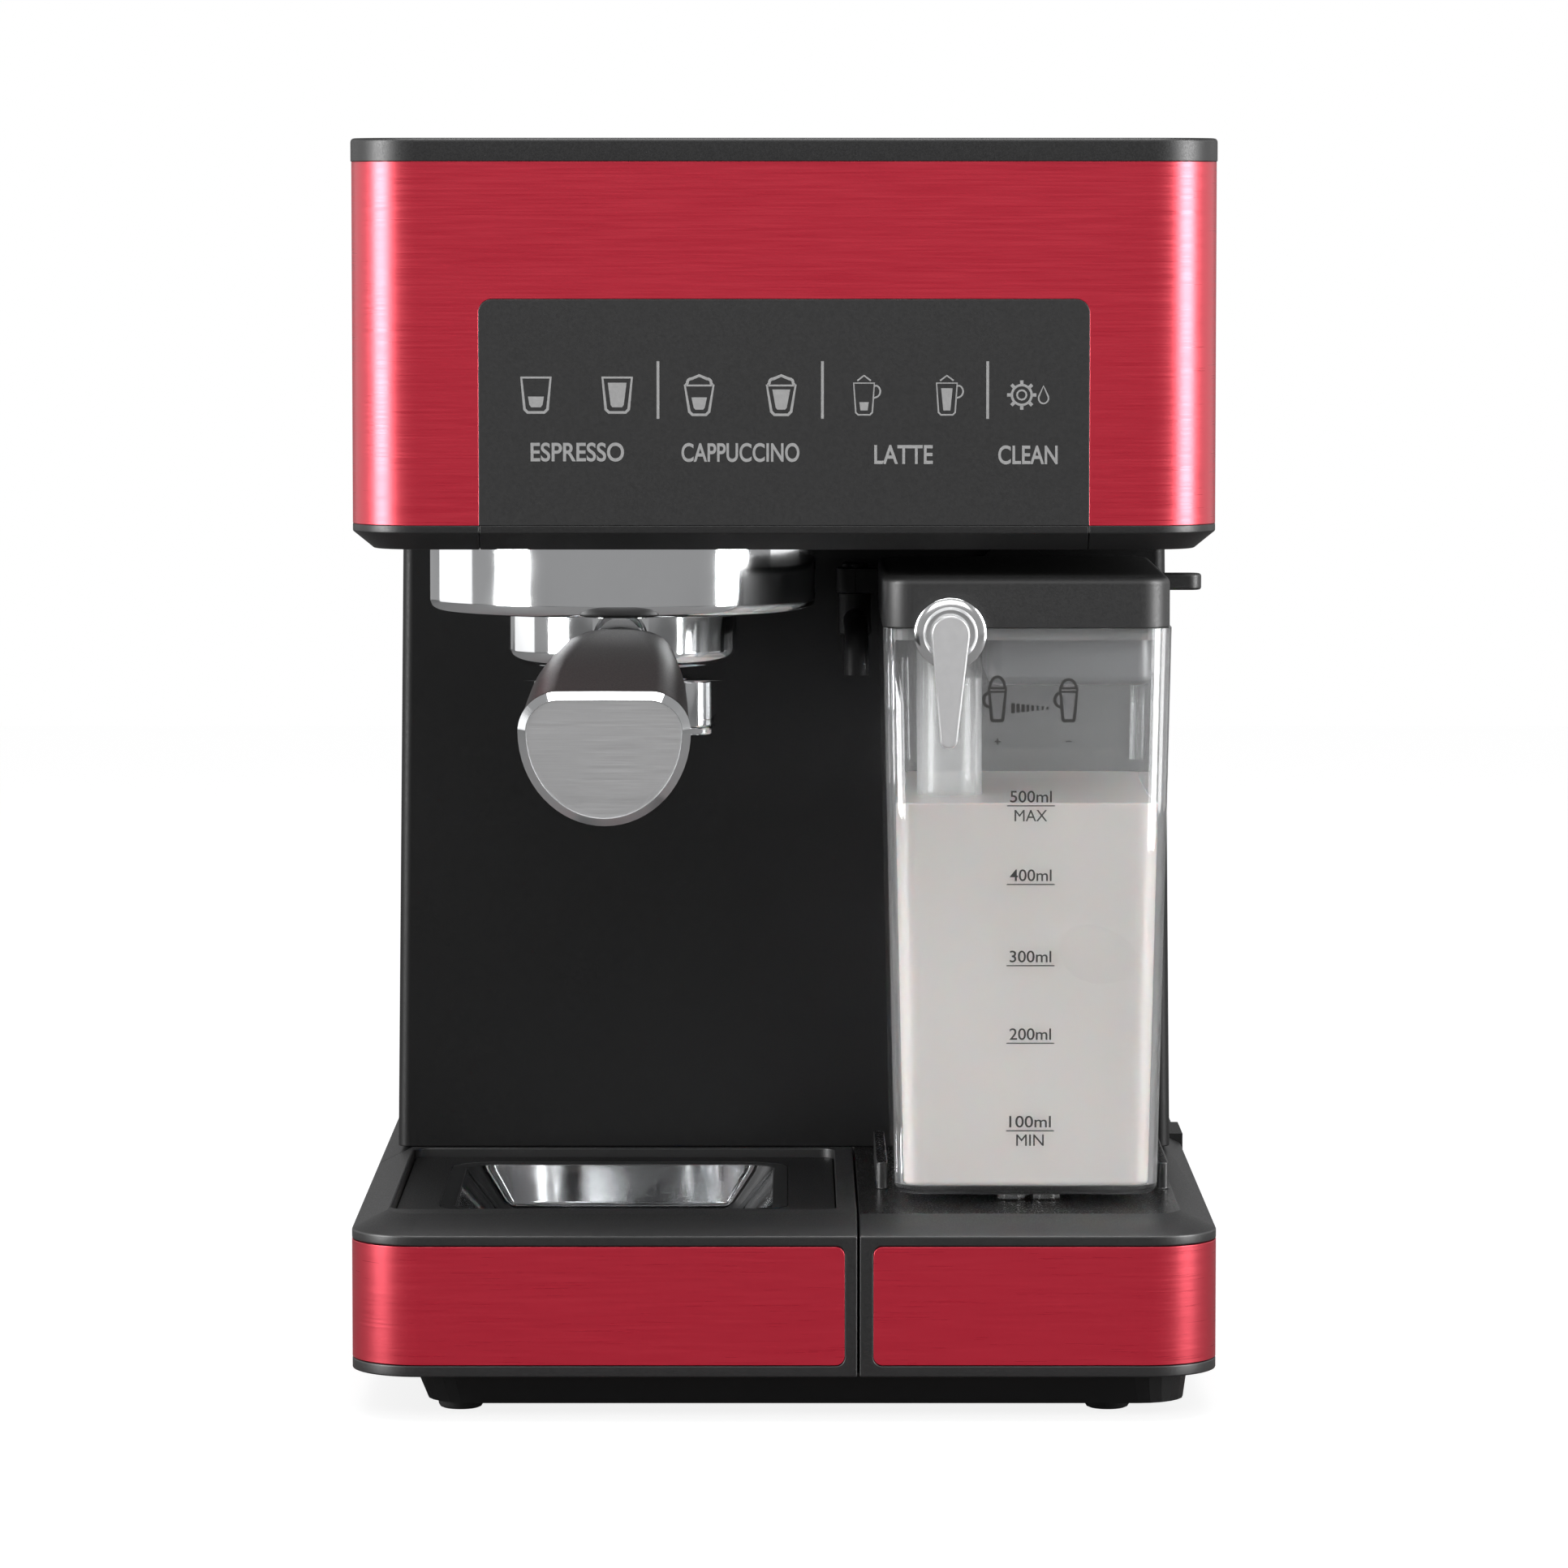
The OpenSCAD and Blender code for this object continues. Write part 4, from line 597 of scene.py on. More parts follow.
for i in range(-3, 4):
    for y in (dish_low.y + FLANGE + DRAIN_IN, dish_high.y - FLANGE - DRAIN_IN):
        x = group.x + DRAIN_PITCH * i
        dish = carve(dish, slab(
            (x - DRAIN_W / 2, y - DRAIN_L / 2, dish_low.z - 2),
            (x + DRAIN_W / 2, y + DRAIN_L / 2, dish_low.z + 3), 1.4, 1.4, steps=6))
piece("dish_pressing", dish, chrome_plate, "cup_dish", crease=40)

# ---- Column ----
# The black housing that carries the head: a front and two sides in one tall moulding, which tapers
# slightly upwards, with the steam socket's hole. It is screwed to the panel behind from the back.
column_finish = finish("column_moulding", (0.0055, 0.0055, 0.0058), 0.5, Specular_IOR_Level=0.22)
grain(column_finish, (1900, 1900, 1900), rough=(0.42, 0.58), bump=0.000014, tint=0.06)
COLUMN_TOP = 102.8
SOCKET_HOLE_R = 8.1
socket = centre("steam_socket")
socket_axis = (socket.x, socket.z)


def bent_sheet(block, thickness):
    """The front and sides of a block as one sheet, open behind, above and below."""
    spare = [f for f in block.faces if abs(f.normal.z) > 0.9 or f.normal.y > 0.9]
    bmesh.ops.delete(block, geom=spare, context="FACES")
    return thicken(block, thickness)


column = slab(column_low, column_high, 3, 0, steps=6)
for v in column.verts:
    if v.co.z > column_high.z - 1:
        v.co.x *= COLUMN_TOP / column_high.x
column.normal_update()
column = carve(
    bent_sheet(column, WALL), bar("y", socket_axis, SOCKET_HOLE_R, column_low.y - 2, column_low.y + 8))
piece("column_moulding", column, column_finish, "column_housing", soften=0.3)

# ---- Head shell ----
# A red brushed sheet bent round the front and both sides of the head, with a window for the panel, over a
# black floor moulding with a leaning edge. The floor's front middle is a separate strip under the panel.
wrap_low, wrap_high = cad("head_wrap")
bezel_low, bezel_high = cad("head_bezel")
chin_low, chin_high = cad("panel_chin")
panel_low, panel_high = cad("control_panel")
PANEL_R = 3.5
BEZEL_LEAN = 5.4
BEZEL_DROP = 4.4
HEAD_HOLE_R = 45.3
HEAD_CUT = (200, 240)
COLUMN_HOLE_X = 96
wrap = bent_sheet(slab(wrap_low, wrap_high, CORNER_R, 0, steps=20), SHEET)
wrap = carve(wrap, slab(
    (panel_low.x, panel_low.y - 5, panel_low.z - 9), (panel_high.x, panel_high.y + 5, panel_high.z + 0.05),
    0, PANEL_R, along="y", steps=8))
piece("head_wrap_sheet", wrap, red_brushed, "head_wrap", soften=0.15)

bezel_moulding = finish("bezel_moulding", (0.021, 0.021, 0.0215), 0.4, Specular_IOR_Level=0.35)
grain(bezel_moulding, (2200, 2200, 2200), rough=(0.34, 0.48), bump=0.00001, tint=0.06)


def head_floor():
    """The head's floor in one block, with its front and sides leaning in below."""
    bm = slab((bezel_low.x, bezel_low.y, bezel_low.z + BEZEL_DROP), bezel_high, CORNER_R, 0, steps=20)
    foot = [f for f in bm.faces if f.normal.z < -0.9]
    bmesh.ops.inset_region(bm, faces=foot, thickness=BEZEL_LEAN, depth=0, use_even_offset=True)
    lowered = list({v for f in foot for v in f.verts})
    bmesh.ops.translate(bm, vec=(0, 0, -BEZEL_DROP), verts=lowered)
    for v in lowered:
        if v.co.y > bezel_high.y - BEZEL_LEAN - 1:
            v.co.y = bezel_high.y
    bmesh.ops.remove_doubles(bm, verts=bm.verts[:], dist=0.001)
    bm.normal_update()
    return bm


bezel = carve(
    head_floor(),
    slab((chin_low.x - HAIRLINE, chin_low.y - 5, HEAD_CUT[0]),
         (chin_high.x + HAIRLINE, chin_high.y + HAIRLINE, HEAD_CUT[1])),
    drum(group.x, group.y, HEAD_HOLE_R, *HEAD_CUT),
    slab((-COLUMN_HOLE_X, column_low.y + 5, HEAD_CUT[0]), (COLUMN_HOLE_X, column_high.y - 5, HEAD_CUT[1])))
piece("bezel_moulding", bezel, bezel_moulding, "head_bezel", soften=0.25)
chin = carve(head_floor(), cutter(x1=chin_low.x), cutter(x0=chin_high.x), cutter(y0=chin_high.y))
piece("chin_strip", chin, bezel_moulding, "panel_chin", soften=0.2)

# ---- Control panel ----
# A satin black sheet with the touch pads behind it. The pictures and words are screen printed in grey:
# two sizes each of espresso, cappuccino and latte, and a gear with a drop for cleaning.
panel_sheet = finish("panel_sheet", (0.03, 0.03, 0.0305), 0.46, Specular_IOR_Level=0.4)
grain(panel_sheet, (1500, 1500, 1500), rough=(0.42, 0.5), tint=0.04)
panel = slab(panel_low, panel_high, 0, PANEL_R - 0.05, along="y", steps=8)
piece("panel_sheet", panel, panel_sheet, "control_panel", soften=0.2)

print_ink = finish("print_ink", (0.6, 0.6, 0.6), 0.6)
grain(print_ink, (900, 900, 900), rough=(0.52, 0.68), tint=0.05)
INK = 0.03
STROKE = 0.72


def flat_mesh(curve, height=0.0):
    """A drawing as a mesh that faces the front, with its X and Y turned to X and Z."""
    obj = bpy.data.objects.new("drawing", curve)
    scene.collection.objects.link(obj)
    mesh = bpy.data.meshes.new_from_object(obj.evaluated_get(bpy.context.evaluated_depsgraph_get()))
    bm = bmesh.new()
    bm.from_mesh(mesh)
    bpy.data.meshes.remove(mesh)
    bpy.data.objects.remove(obj)
    bpy.data.curves.remove(curve)
    bmesh.ops.scale(bm, vec=(1, 1, height), verts=bm.verts[:])
    bmesh.ops.rotate(bm, cent=(0, 0, 0), matrix=Matrix.Rotation(pi / 2, 3, "X"), verts=bm.verts[:])
    bmesh.ops.remove_doubles(bm, verts=bm.verts[:], dist=1e-5)
    bm.normal_update()
    return bm


def spline(curve, points, closed):
    line = curve.splines.new("POLY")
    line.points.add(len(points) - 1)
    for point, (x, y) in zip(line.points, points):
        point.co = (x, y, 0, 1)
    line.use_cyclic_u = closed


def stroke(*lines, width=STROKE, closed=False):
    """Printed lines of one width, with round ends and bends."""
    curve = bpy.data.curves.new("stroke", "CURVE")
    curve.dimensions = "3D"
    curve.bevel_depth = width / 2
    curve.bevel_resolution = 1
    curve.use_fill_caps = True
    for line in lines:
        spline(curve, line, closed)
    return flat_mesh(curve, 2 * INK / width)


def blot(*shapes):
    """Printed shapes filled with ink."""
    curve = bpy.data.curves.new("blot", "CURVE")
    curve.dimensions = "2D"
    curve.fill_mode = "BOTH"
    curve.extrude = 1
    for shape in shapes:
        spline(curve, shape, True)
    return flat_mesh(curve, INK)


def lettering(words, x, z, cap, width=None, bold=0.0):
    """Printed words with capitals of one height, centred on a place, and set to a width."""
    curve = bpy.data.curves.new("lettering", "FONT")
    curve.body = words
    curve.fill_mode = "BOTH"
    curve.extrude = 1
    curve.offset = bold
    bm = flat_mesh(curve, INK)
    low = Vector([min(v.co[i] for v in bm.verts) for i in range(3)])
    high = Vector([max(v.co[i] for v in bm.verts) for i in range(3)])
    tall = cap / (high.z - low.z)
    wide = width / (high.x - low.x) if width else tall
    bmesh.ops.translate(bm, vec=(-(low.x + high.x) / 2, 0, -(low.z + high.z) / 2), verts=bm.verts[:])
    bmesh.ops.scale(bm, vec=(wide, 1, tall), verts=bm.verts[:])
    bmesh.ops.translate(bm, vec=(x, 0, z), verts=bm.verts[:])
    return bm


def moved(bm, x, z, grow=1.0):
    bmesh.ops.scale(bm, vec=(grow, 1, grow), verts=bm.verts[:])
    bmesh.ops.translate(bm, vec=(x, 0, z), verts=bm.verts[:])
    return bm


def arch(x, z, rx, rz, start, end, steps=10):
    """Points along part of an oval."""
    return [
        (x + rx * cos(radians(start + (end - start) * i / steps)),
         z + rz * sin(radians(start + (end - start) * i / steps)))
        for i in range(steps + 1)]


def tumbler(fill):
    """An espresso glass, filled to a height."""
    outside = [(-3.7, 4.4), (3.7, 4.4), (2.9, -3.6), (2.1, -4.4), (-2.1, -4.4), (-2.9, -3.6)]
    lean = 0.1
    half = 1.75 + lean * (fill + 3.1)
    drink = [(-half, fill), (half, fill), (1.65, -2.5), (1.2, -3.1), (-1.2, -3.1), (-1.65, -2.5)]
    return join(stroke(outside, closed=True), blot(drink))


def cappuccino_cup(fill):
    """A cup with a peak of foam, filled to a height."""
    cup = [(-3.6, 2.4), (3.6, 2.4), (2.5, -4.2), (1.7, -5), (-1.7, -5), (-2.5, -4.2)]
    foam = ([(-3.4, 2.4)] + arch(-1.9, 3.2, 1.1, 0.9, 190, 90, 4) + [(0, 4.9)]
            + arch(1.9, 3.2, 1.1, 0.9, 90, -10, 4) + [(3.4, 2.4)])
    half = 1.5 + 0.15 * (fill + 3.7)
    drink = [(-half, fill), (half, fill), (1.4, -3.2), (1, -3.7), (-1, -3.7), (-1.4, -3.2)]
    return join(stroke(cup, closed=True), stroke(foam), blot(drink))


def latte_mug(fill):
    """A tall mug with a handle and a peak of foam, filled to a height."""
    mug = [(-3.2, 3), (2, 3), (1.5, -4.4), (0.9, -5), (-2.1, -5), (-2.7, -4.4)]
    ear = [(2, 2.2)] + arch(2.2, 0.9, 1.3, 1.5, 80, -70, 8) + [(1.8, -0.8)]
    foam = [(-2.3, 3.6), (-0.6, 4.9), (1.1, 3.6)]
    half = 1.05 + 0.07 * (fill + 3.9)
    drink = [(-0.6 - half, fill), (-0.6 + half, fill), (0.3, -3.9), (-1.5, -3.9)]
    thin = 0.42
    return join(
        stroke(mug, width=thin, closed=True), stroke(ear, width=thin), stroke(foam, width=thin), blot(drink))


def gear_and_drop():
    """The sign for cleaning."""
    teeth = [
        [(2.6 * cos(radians(a)), 2.6 * sin(radians(a))), (3.7 * cos(radians(a)), 3.7 * sin(radians(a)))]
        for a in range(0, 360, 45)]
    gear = join(stroke(arch(0, 0, 2.5, 2.5, 0, 345, 23), width=0.6, closed=True), stroke(*teeth, width=0.85),
                stroke(arch(0, 0, 1.2, 1.2, 0, 330, 11), width=0.45, closed=True))
    drop = stroke(arch(0, -0.7, 1.25, 1.35, -215, 35, 14) + [(0, 2.4)], width=0.4, closed=True)
    return join(moved(gear, -1.6, 0), moved(drop, 3.9, -0.1))


ICON_Z = 258.9
WORD_Z = 244.5
WORD_CAP = 4.8
DIVIDER = (252.9, 267.4)
prints = bmesh.new()
for x, icon in (
        (-62.6, tumbler(-0.4)), (-42.1, tumbler(3.1)), (-21.4, cappuccino_cup(-0.6)),
        (-0.7, cappuccino_cup(1.4)), (20.8, latte_mug(-1.8)), (41.7, latte_mug(1.7)),
        (61.6, gear_and_drop())):
    join(prints, moved(icon, x, ICON_Z))
for x in (-31.8, 9.7, 51.4):
    join(prints, stroke([(x, z) for z in DIVIDER], width=0.7))
for words, x, drop, width in (
        ("ESPRESSO", -52.2, 0, 23.6), ("CAPPUCCINO", -11, 0.1, 29.8), ("LATTE", 30.2, 0.6, 14.8),
        ("CLEAN", 61.6, 0.7, 15)):
    join(prints, lettering(words, x, WORD_Z - drop, WORD_CAP, width, bold=0.018))
bmesh.ops.translate(prints, vec=(0, panel_low.y - INK / 2, 0), verts=prints.verts[:])
piece("panel_print", prints, print_ink, "control_panel", stands=False)

# ---- Top cover ----
# The head's black lid: a flat moulding with a rolled top edge and a shallow tray on top that keeps cups
# warm. It is screwed down to posts inside the head and overhangs the red sheet by a hair.
cover_finish = finish("cover_moulding", (0.015, 0.015, 0.0155), 0.44, Specular_IOR_Level=0.4)
grain(cover_finish, (2200, 2200, 2200), rough=(0.38, 0.5), bump=0.00001, tint=0.05)
cover_low, cover_high = cad("top_cover")
cover = slab(cover_low, cover_high, CORNER_R, 0, steps=20)
round_edges(cover, edges_facing(cover, z=1), 1, 4)
COVER_RIM = 8.2
CUP_TRAY_DROP = 1.4
for thickness, drop in ((COVER_RIM, 0), (0.5, -CUP_TRAY_DROP)):
    cover_top = [f for f in cover.faces if f.normal.z > 0.99 and f.calc_area() > 9000]
    bmesh.ops.inset_region(cover, faces=cover_top, thickness=thickness, depth=0, use_even_offset=True)
    bmesh.ops.translate(cover, vec=(0, 0, drop), verts=list({v for f in cover_top for v in f.verts}))
    cover.normal_update()
piece("cover_moulding", cover, cover_finish, "top_cover", soften=0.2)

# ---- Brew group ----
# A chromed skirt, deep drawn from sheet with a rolled lower edge and a lip turned in. It hangs round the
# cast brew head and hides the bayonet that the filter holder locks into.
COLLAR_R = 50.3
COLLAR_SHEET = 1.6
COLLAR_LIP_R = 39
collar_profile = [(r, group_low.z + up) for r, up in (
    (COLLAR_LIP_R, 0), (COLLAR_R - 2.3, 0), (COLLAR_R - 1.2, 0.3), (COLLAR_R - 0.4, 1.1), (COLLAR_R, 2.4),
    (COLLAR_R, 3), (COLLAR_R, group_high.z - group_low.z),
    (COLLAR_R - COLLAR_SHEET, group_high.z - group_low.z), (COLLAR_R - COLLAR_SHEET, 2.4),
    (COLLAR_R - 2.1, COLLAR_SHEET), (COLLAR_LIP_R, COLLAR_SHEET))]


def lathe(profile, x, y, steps=128):
    """Turns a closed profile of (radius, height) points about an upright axis."""
    bm = bmesh.new()
    line = [bm.verts.new((r + x, y, z)) for r, z in profile]
    for a, b in zip(line, line[1:] + line[:1]):
        bm.edges.new((a, b))
    bmesh.ops.spin(
        bm, geom=everything(bm), cent=(x, y, 0), axis=(0, 0, 1), angle=2 * pi, steps=steps,
        use_merge=True, use_duplicate=False)
    bmesh.ops.remove_doubles(bm, verts=bm.verts[:], dist=1e-4)
    bmesh.ops.dissolve_degenerate(bm, edges=bm.edges[:], dist=1e-4)
    bmesh.ops.recalc_face_normals(bm, faces=bm.faces[:])
    return bm


piece("collar_skirt", lathe(collar_profile, group.x, group.y, steps=160), chrome_plate, "group_collar")

# ---- Filter holder ----
# A chromed brass cup with two bayonet lugs and a boss for the handle, a turned neck, a long black handle
# that swells and bends down towards the user, and a polished cap with a brushed plate set in its end.
holder_low, holder_high = cad("portafilter_body")
neck_low, neck_high = cad("handle_ferrule")
spout_low, spout_high = cad("double_spout")
HOLDER_R = 29.8
OUTLET_R = 9
LUG_R = 36.6
LUG_Z = (207.5, 211.9)
LUG_REACH = 13
NECK_Z = 196
shoulder = holder_low.z + 4.9
cup = lathe([
    (5, holder_low.z), (OUTLET_R, holder_low.z), (OUTLET_R, shoulder - 2.6), (14, shoulder - 2.2),
    (HOLDER_R - 6, shoulder - 1.7), (HOLDER_R - 3, shoulder - 1.1), (HOLDER_R - 1.2, shoulder),
    (HOLDER_R - 0.3, shoulder + 1.2), (HOLDER_R, shoulder + 2.6),
    (HOLDER_R, holder_high.z - 0.4), (HOLDER_R - 0.4, holder_high.z), (HOLDER_R - 1.8, holder_high.z),
    (HOLDER_R - 2.2, holder_high.z - 0.4), (HOLDER_R - 2.2, shoulder + 2.4), (5, shoulder)], group.x, group.y)
for side in (0, pi):
    lug = lathe(
        [(HOLDER_R - 1, LUG_Z[0]), (LUG_R, LUG_Z[0]), (LUG_R, LUG_Z[1]), (HOLDER_R - 1, LUG_Z[1])],
        group.x, group.y, steps=120)
    for turn, way in ((LUG_REACH, 1), (-LUG_REACH, -1)):
        normal = Vector((-sin(radians(turn)), cos(radians(turn)), 0)) * way
        normal.rotate(Matrix.Rotation(side, 3, "Z"))
        bmesh.ops.bisect_plane(
            lug, geom=everything(lug), plane_co=(group.x, group.y, 0), plane_no=normal, clear_outer=True)
    outward = Matrix.Rotation(side, 3, "Z") @ Vector((1, 0, 0))
    far_half = [v for v in lug.verts if (v.co - Vector((group.x, group.y, v.co.z))).dot(outward) < 0]
    bmesh.ops.delete(lug, geom=far_half, context="VERTS")
    bmesh.ops.holes_fill(lug, edges=lug.edges[:])
    bmesh.ops.recalc_face_normals(lug, faces=lug.faces[:])
    cup = weld(cup, lug)
cup = weld(cup, bar("y", (group.x, NECK_Z), 7, neck_high.y - 0.2, group.y - HOLDER_R + 2))
piece("holder_cup", cup, chrome_plate, "portafilter_body", crease=38)


def turned_bar(profile, x, z):
    """Turns a profile of (radius, depth) points about a level axis that runs front to back."""
    bm = lathe(profile, 0, 0, steps=72)
    bmesh.ops.rotate(bm, cent=(0, 0, 0), matrix=Matrix.Rotation(pi / 2, 3, "X"), verts=bm.verts[:])
    bmesh.ops.translate(bm, vec=(x, 0, z), verts=bm.verts[:])
    return bm


neck_y = -neck_high.y + 2
neck = turned_bar([(r, neck_y + along) for r, along in (
    (0.01, -2), (2.5, -2), (2.5, 0), (6.1, 0), (6.4, 0.4), (6.4, 1), (5.9, 1.6), (4.9, 2.2), (4.6, 3.4),
    (4.8, 5), (5.6, 6.6), (0.01, 6.6))], group.x, NECK_Z)
piece("turned_neck", neck, chrome_plate, "handle_ferrule", crease=40)

grip_finish = finish("grip_moulding", (0.011, 0.0102, 0.0102), 0.52, Specular_IOR_Level=0.25)
grain(grip_finish, (2600, 2600, 2600), rough=(0.44, 0.58), bump=0.000012, tint=0.05)
GRIP_TILT = radians(8)
CAP_DRIFT = 1.1
CAP_W = 41.5
CAP_H = 33
CAP_T = 3.2
CAP_Z = 174.3
CAP_SHOULDER = 9.8
CAP_FLAT = 10.8
grip_start = neck_low.y
grip_end = cad("handle_cap")[0].y


def grip_ring(bm, y, w, h, z, shoulder, flat, around=64):
    """Adds one ring of the handle's section: a flat top with round shoulders over a deep belly."""
    along = (y - grip_start) / (grip_end - grip_start)
    ring = bmesh.ops.create_circle(bm, cap_ends=False, segments=around, radius=1)["verts"]
    for v in ring:
        c, s = v.co.x, v.co.y
        if s > 1e-6:
            v.co.x = flat * (1 if c > 1e-6 else -1 if c < -1e-6 else 0) + (w / 2 - flat) * c
            v.co.y = h / 2 - shoulder + shoulder * s
        else:
            v.co.x = w / 2 * c
            v.co.y = h / 2 - shoulder + (h - shoulder) * s
    place = Matrix.Translation((group.x - CAP_DRIFT * along, y, z))
    bmesh.ops.transform(bm, matrix=place @ Matrix.Rotation(pi / 2 + GRIP_TILT, 4, "X"), verts=ring)
    inside = set(ring)
    return [(e.verts[0], e.verts[1]) for e in bm.edges if e.verts[0] in inside and e.verts[1] in inside]


def between(rows, at):
    """A smooth curve through rows of values, read at one place."""
    for i, (a, b) in enumerate(zip(rows, rows[1:])):
        if at <= b[0] or i == len(rows) - 2:
            before, after = rows[max(i - 1, 0)], rows[min(i + 2, len(rows) - 1)]
            t = (at - a[0]) / (b[0] - a[0])
            out = []
            for k in range(1, len(a)):
                m0 = (b[k] - before[k]) / max(b[0] - before[0], 1e-6)
                m1 = (after[k] - a[k]) / max(after[0] - a[0], 1e-6)
                span = b[0] - a[0]
                out.append(
                    (2 * t ** 3 - 3 * t ** 2 + 1) * a[k] + (t ** 3 - 2 * t ** 2 + t) * span * m0
                    + (3 * t ** 2 - 2 * t ** 3) * b[k] + (t ** 3 - t ** 2) * span * m1)
            return out


# How far along, width, height, height of the middle, rise of the shoulders, half of the flat top
grip_shape = [
    (0.008, 12, 9.6, 194.2, 4.6, 0), (0.05, 21, 12.4, 193.2, 3.2, 0), (0.1, 25.4, 15.2, 192, 4.6, 0.3),
    (0.2, 28.8, 19.6, 190, 6.4, 2), (0.62, 37, 29, NECK_Z - 13.8, 8.7, 8.8),
    (0.954, CAP_W - 0.6, CAP_H - 0.6, CAP_Z + 0.4, CAP_SHOULDER, CAP_FLAT)]
GRIP_STEPS = 34
grip = bmesh.new()
loops = []
for i in range(GRIP_STEPS + 1):
    at = grip_shape[0][0] + (grip_shape[-1][0] - grip_shape[0][0]) * (i / GRIP_STEPS) ** 1.5
    loops.append(grip_ring(grip, grip_start + (grip_end - grip_start) * at, *between(grip_shape, at)))
skin(grip, loops)
for loop in (loops[0], loops[-1]):
    bmesh.ops.edgeloop_fill(grip, edges=ring_edges(grip, loop))
bmesh.ops.recalc_face_normals(grip, faces=grip.faces[:])
piece("grip_moulding", grip, grip_finish, "portafilter_handle", soften=0.5, crease=50)

cap_plate = finish("brushed_plate", (0.66, 0.66, 0.665), 0.4, metal=0.6, Anisotropic=0.4)
grain(cap_plate, (60, 60, 5200), rough=(0.34, 0.46), tint=0.04, bump=0.000002, detail=3)
cap = bmesh.new()
CAP_EDGE = 1.9
cap_back = grip_end + CAP_H / 2 * sin(GRIP_TILT) + CAP_T
cap_rings = [
    grip_ring(
        cap, cap_back - back, CAP_W - 2 * inset, CAP_H - 2 * inset, CAP_Z, CAP_SHOULDER - inset, CAP_FLAT)
    for back, inset in (
        (0, 0.5), (0.3, 0), (CAP_T - 2.6, 0), (CAP_T - 0.1, CAP_EDGE), (CAP_T - 0.1, CAP_EDGE + 0.15),
        (CAP_T - 0.35, CAP_EDGE + 0.25))]
skin(cap, cap_rings)
bmesh.ops.edgeloop_fill(cap, edges=ring_edges(cap, cap_rings[0]))
plate_face = bmesh.ops.edgeloop_fill(cap, edges=ring_edges(cap, cap_rings[-1]))["faces"]
for f in plate_face:
    f.material_index = 1
bmesh.ops.recalc_face_normals(cap, faces=cap.faces[:])
piece("polished_cap", cap, (chrome_plate, cap_plate), "handle_cap", crease=20)

BLOCK_LOW_Z = 171
BLOCK_TOP_Z = 183.4
SADDLE_X = 17
SADDLE_Y = 8.5
NOZZLE_X = 18.8
NOZZLE_R = 4.6
NOZZLE_BORE = 3
spout = weld(
    slab((spout_low.x, spout_low.y, BLOCK_LOW_Z), (spout_high.x, spout_high.y, BLOCK_TOP_Z), 7, 7, steps=8),
    slab((group.x - SADDLE_X, group.y - SADDLE_Y, BLOCK_TOP_Z - 3.4),
         (group.x + SADDLE_X, group.y + SADDLE_Y, spout_high.z), 5, 5, steps=8))
for x in (group.x - NOZZLE_X, group.x + NOZZLE_X):
    spout = weld(spout, drum(x, group.y, NOZZLE_R, spout_low.z, BLOCK_LOW_Z + 2, steps=40))
    spout = carve(spout, drum(x, group.y, NOZZLE_BORE, spout_low.z - 2, BLOCK_LOW_Z + 6, steps=32))
piece("spout_block", spout, chrome_plate, "double_spout", soften=0.7, steps=3)

# ---- Milk tank ----
# A clear jug that slides in from the front on two small feet. It leans in towards its floor, has a notch
# in its mouth for the froth knob, and its scale is printed on the front. The milk is shown to the mark.
jug_low, jug_high = cad("milk_tank")
lid_low, lid_high = cad("milk_lid")
chamber_low, chamber_high = cad("froth_chamber")
tube_low, tube_high = cad("intake_tube")
knob_low, knob_high = cad("froth_lever")
JUG_LEAN = 3.2
JUG_LEAN_Y = 1.2
JUG_FLOOR = 54.4
JUG_R = 8
CLEAR_WALL = 2.2
KNOB_R = 9.2
knob_x, knob_z = knob_low.x + KNOB_R, knob_high.z - KNOB_R
MILK_TOP = 155


def clear_finish(name, colour, rough, weight=1.0, ior=1.45):
    """A clear moulding: it refracts and shines, and lets the lamps' light straight through."""
    material = finish(name, colour, rough, IOR=ior, Transmission_Weight=weight)
    tree = material.node_tree
    passing = tree.nodes.new("ShaderNodeBsdfTransparent")
    passing.inputs["Color"].default_value = (*colour, 1)
    by_ray(tree, "Is Shadow Ray", tree.nodes["Principled BSDF"], passing, "Material Output")
    return material


def open_vessel(bm, floor_r):
    """Makes a block a vessel with a rounded floor, clear walls and no top."""
    round_edges(bm, edges_facing(bm, z=-1), floor_r, 5)
    bmesh.ops.delete(bm, geom=[f for f in bm.faces if f.normal.z > 0.9], context="FACES")
    return thicken(bm, CLEAR_WALL)


def tapered(low, high, near_r, far_r, lean_x, lean_y, steps=8):
    """A block with rounded uprights whose foot is drawn in."""
    bm = slab(low, high, near_r, far_r, steps=steps)
    middle, half = (Vector(low) + Vector(high)) / 2, (Vector(high) - Vector(low)) / 2
    for v in bm.verts:
        if v.co.z < middle.z:
            v.co.x = middle.x + (v.co.x - middle.x) * (1 - lean_x / half.x)
            v.co.y = middle.y + (v.co.y - middle.y) * (1 - lean_y / half.y)
    bm.normal_update()
    return bm


clear_jug = clear_finish("clear_jug", (0.93, 0.935, 0.94), 0.015, weight=0.94, ior=1.42)
grain(clear_jug, (45, 45, 12), rough=(0.005, 0.03), bump=0.00002, detail=2)
jug = open_vessel(
    tapered((jug_low.x, jug_low.y, JUG_FLOOR), jug_high, JUG_R, JUG_R, JUG_LEAN, JUG_LEAN_Y), 2.5)
jug = carve(jug, bar("y", (knob_x, knob_z), 6.9, jug_low.y - 2, jug_low.y + 8))
jug_x = centre("milk_tank").x
for x in (jug_x - 3.5, jug_x + 5.5):
    jug = weld(jug, drum(x, jug_low.y + 14, 3.4, rim_z + 0.35, JUG_FLOOR + 1, steps=32))
piece("clear_jug", jug, clear_jug, "milk_tank", crease=35)

